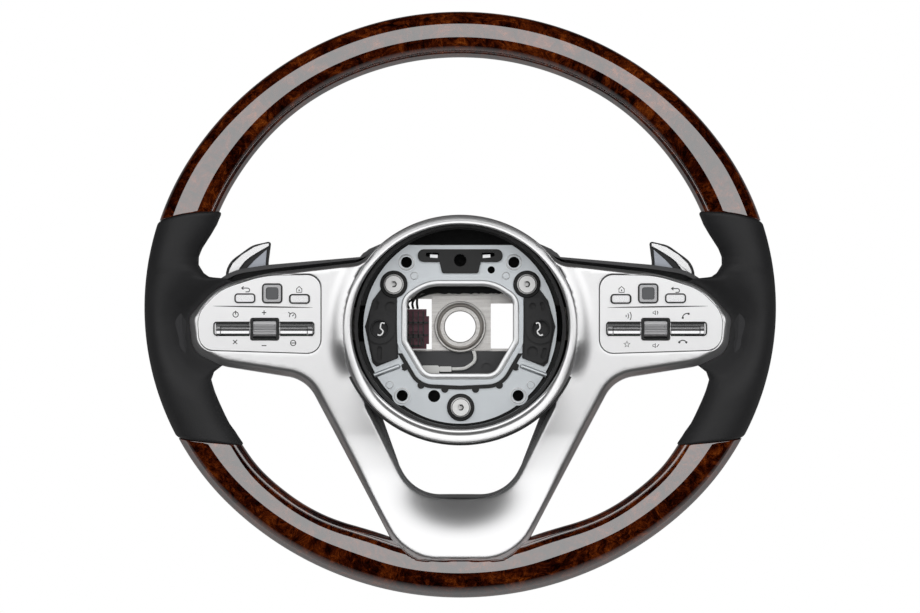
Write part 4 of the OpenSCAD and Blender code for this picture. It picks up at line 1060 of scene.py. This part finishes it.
def hub_details():
    """The open hub's raised rims, screw sockets with painted shade, pad plates, slots, connector lines and a
    painted shadow under the ring.
    """
    plate = body_of("horn_plate")
    opening = loop_of(rounded(OPENING, 8, closed=True), 0.9)
    bead("opening_rim", opening, bead_profile(3.8, 0.9), -19.5, "hub_bead", plate)
    for side_name, side in SIDES:
        pad = body_of("side_pad_" + side_name)
        for tag, x, z, r, width, base in PLATE_RINGS:
            circle = arc_path(side * x, z, r, 0, 350, 36)
            bead(tag + "_" + side_name, circle, bead_profile(width, 0.35), base, "hub_bead", plate)
        skirt = np.array(PAD_SKIRT) * (side, 1)
        plate_piece("pad_skirt_" + side_name, skirt, -19.6, -18.6, "pad_plastic", pad)
        bore = arc_path(side * 48.6, -1.1, 5.3, 0, 350, 48)
        bead("bore_rim_" + side_name, bore, bead_profile(1.0, 0.5), -22.5, "pad_plastic", pad)
    # A black bar just outside the ring's lower edge, in front of the cover's own edge: painted shadow in the
    # gap between the ring and the trim
    below = ring_outside(np.radians(np.linspace(-24, -156, 90)), 0.3)
    strokes("ring_backing", [(below, 2.2, False)], -46.6, -39.0, "black_plastic", "wheel")
    for tag, x, z in SCREW_SEATS:
        # The dark arc is painted shade in each screw head's socket; the thin dark closed ring of radius 5.2
        # goes round the head
        socket = [(arc_path(x, z, 1.5, -120, 110, 14), 0.7, False),
                  (arc_path(x, z, 5.2, 0, 350, 36), 0.25, True)]
        strokes("socket_" + tag, socket, -23.7, -23.3, "pad_plastic", body_of("plate_screws"))
    slots = [line((side * 13.6, 42.6), (side * 18.2, 42.9), width=1.9) for _, side in SIDES]
    strokes("slot_strips", slots, -21.2, -20.4, "hub_bead", body_of("top_pad"))
    ribs = [line((x, -12.5), (x, 9.4), width=0.7) for x in (-31.6, -28.6, -25.4, -22.4)]
    latch = [line((-33.0, 2.6), (-19.4, 2.6), width=1.1), line((-33.0, -5.0), (-19.4, -5.0), width=0.9),
             (box_path(-27.0, -8.8, 3.4, 2.6, 0.6), 0.9, True)]
    connector = body_of("harness_connector")
    strokes("connector_lines", ribs + latch, -6.6, -6.0, "black_plastic", connector)
    bead("boss_rim", arc_path(0, 0, 14.9, 0, 354, 72), bead_profile(1.5, 0.8), -3.0, "cast_alloy", "wheel")
    turns = np.linspace(0, 2 * math.pi, 96, endpoint=False)
    cone = [[(r * math.cos(t), y, r * math.sin(t)) for t in turns] for r, y in BOSS_CONE]
    added(grid_piece("boss_seat", np.array(cone + cone[:1])), "boss_cone", "wheel")


# The bright strip and the grey facet of the left paddle, and their levels
BLADE_STRIP = ((-141.0, 31.0), (-140.2, 34.6), (-138.1, 38.7), (-132.4, 44.0), (-125.0, 48.6),
               (-119.6, 50.4), (-116.0, 50.9), (-115.9, 48.9), (-120.2, 46.5), (-123.9, 44.3),
               (-127.6, 41.9), (-130.6, 39.4), (-133.6, 35.6), (-135.6, 31.4), (-135.8, 30.9),
               (-141.0, 30.9))
BLADE_FACET = ((-131.6, 30.0), (-130.4, 34.4), (-124.4, 40.8), (-117.2, 46.9), (-118.0, 36.0),
               (-118.4, 30.0))
STRIP_Y = -12.15
FACET_Y = -12.3
BLADE_BACK_Y = -11.8


def side_details(side_name, side):
    """Marks, painted shade in the panel's crease and gap, lines round the controls, the roller and the
    paddle's faces on one side.
    """
    mirror = (side, 1)
    crease = np.stack([np.linspace(148.8, 88.5, 30), np.linspace(12.6, 11.7, 30)], -1) * mirror
    outline = loop_of(panel_edge, 1.2) * mirror
    shut_lines = rocker_lines(126.4, 148.0, side) + rocker_lines(108.6, 88.0, side)
    for name, lines, front, back, look in (
            ("marks_", MARKS[side_name], -0.05, 0.2, "mark_ink"),
            # A dark strip along the crease: painted shade of the crease
            ("panel_lines_", [(crease, CREASE_W, False)], -0.04, 0.2, "mark_ink"),
            # A dark ring in the gap round the panel: painted shade of the gap
            ("panel_gap_", [(outline, 0.6, True)], 0.25, 1.5, "mark_ink"),
            ("rocker_lines_", shut_lines, -1.9, 0.3, "black_plastic")):
        strokes(name + side_name, lines, PANEL_Y + front, PANEL_Y + back, look, "wheel")
    for name, x, z, half_w, half_h, r, width, front, node in (
            ("back_button_edge_", 129.4, 17.3, 5.9, 2.55, 1.7, 0.85, -1.6, "back_button_"),
            ("home_button_edge_", 96.6, 16.9, 5.9, 2.55, 1.7, 0.85, -1.6, "home_button_"),
            ("touch_edge_", 113.0, 20.2, 5.75, 5.65, 2.0, 0.9, -0.9, "touch_frame_")):
        box = (box_path(side * x, z, half_w, half_h, r), width, True)
        strokes(name + side_name, [box], PANEL_Y + front, PANEL_Y + 0.1, "black_plastic",
                body_of(node + side_name))
    roller("roller_" + side_name, "menu_roller" if side < 0 else "volume_roller", side)
    paddle = "paddle_" + side_name
    dress(NODES[paddle], "black_plastic")
    place = (-side, 1)
    plate_piece("blade_rim_" + side_name, np.array(BLADE_STRIP) * place, STRIP_Y, BLADE_BACK_Y,
                "satin_trim", body_of(paddle))
    plate_piece("blade_face_" + side_name, np.array(BLADE_FACET) * place, FACET_Y, BLADE_BACK_Y,
                "paddle_metal", body_of(paddle), 0.2)


for side_name, side in SIDES:
    side_details(side_name, side)
well_floor()
hub_details()


# Stage, lamp and camera
PHOTO_W = 920
PHOTO_H = 613
MM_PER_PIXEL = 0.6013
BORE_PIXEL_Z = 327.0
# Metres from here on
CAMERA_FAR = 4.0
CAMERA_X = -0.00012
FACE_Y = -0.045
# The lamp's angle above the line of sight, in radians, and its distance
SOFTBOX_UP = 0.42
SOFTBOX_FAR = 1.5
# Share of the floor's paint that the camera sees as plain white, and the world's even light
FLOOR_WHITE = 0.94
TENT = 0.3
# How bright mirrors see the world that they face downwards and backwards
MIRROR_DOWN = 0.8
MIRROR_BACK = 0.84
MIRROR_FROM = 0.27
MIRROR_GAIN = 0.6


def floor():
    """A pale floor that the camera sees as nearly plain white, with faint shadows."""
    p = Paint("floor", Roughness=0.9, Base_Color=(0.86, 0.86, 0.86))
    glow = p.node("ShaderNodeEmission", {}, {"Color": (1.0, 1.0, 1.0), "Strength": 1.0})
    rays = p.node("ShaderNodeLightPath", {}, {}, "Is Camera Ray")
    painted = Shade(p, p.shader.outputs[0])
    p.put(p.output.inputs[0], p.node("ShaderNodeMixShader", {}, (rays * FLOOR_WHITE, painted, glow)))
    mesh = bpy.data.meshes.new("floor")
    corners = [(-6, 0.1, -0.6), (6, 0.1, -0.6), (6, 6, -0.6), (-6, 6, -0.6)]
    mesh.from_pydata(corners, [], [(0, 1, 2, 3)])
    plane = link("floor", mesh)
    plane.data.materials.append(p.material)


def softbox():
    """One wide lamp above the camera, aimed at the bore."""
    data = bpy.data.lights.new("softbox", "AREA")
    data.shape = "RECTANGLE"
    data.size = 4.4
    data.size_y = 1.7
    data.energy = 30
    lamp = link("softbox", data)
    lamp.location = (0, -SOFTBOX_FAR * math.cos(SOFTBOX_UP), SOFTBOX_FAR * math.sin(SOFTBOX_UP))
    lamp.rotation_euler = (math.pi / 2 - SOFTBOX_UP, 0, 0)


floor()
softbox()


def studio_world():
    """White for the camera, and for mirrors and glass that look behind or below the object."""
    world = bpy.data.worlds.new("studio")
    bpy.context.scene.world = world
    world.use_nodes = True
    nodes = Nodes(world.node_tree)
    way = nodes.node("ShaderNodeTexCoord", {}, {}, "Generated")
    y, z = (nodes.node("ShaderNodeSeparateXYZ", {}, (way,), axis) for axis in "YZ")
    seen, glossy, through = (nodes.node("ShaderNodeLightPath", {}, {}, "Is " + kind + " Ray")
                             for kind in ("Camera", "Glossy", "Transmission"))
    # A mirror that looks down or backwards sees the white floor and backdrop
    around = z * -MIRROR_DOWN + y * MIRROR_BACK
    white = around.calc("SUBTRACT", MIRROR_FROM, clamp=True) * MIRROR_GAIN
    mirror = glossy.calc("ADD", through, clamp=True)
    lit = (mirror * -1.0 + 1.0) * TENT
    strength = (seen + mirror * white).calc("ADD", lit, clamp=True)
    back = nodes.node("ShaderNodeBackground", {}, {"Color": (1.0, 1.0, 1.0), "Strength": strength})
    nodes.node("ShaderNodeOutputWorld", {}, (back,))


studio_world()

SENSOR = 36.0
camera_data = bpy.data.cameras.new("camera")
camera = link("camera", camera_data)
bpy.context.scene.camera = camera
frame_width = PHOTO_W * MM_PER_PIXEL * MM
camera_data.sensor_fit = "HORIZONTAL"
camera_data.sensor_width = SENSOR
camera_data.lens = SENSOR * (CAMERA_FAR + FACE_Y) / frame_width
camera_data.clip_end = 50
camera.location = (CAMERA_X, -CAMERA_FAR, (BORE_PIXEL_Z - PHOTO_H / 2) * MM_PER_PIXEL * MM)
camera.rotation_euler = (math.pi / 2, 0, 0)
bpy.context.scene.view_settings.view_transform = "Standard"
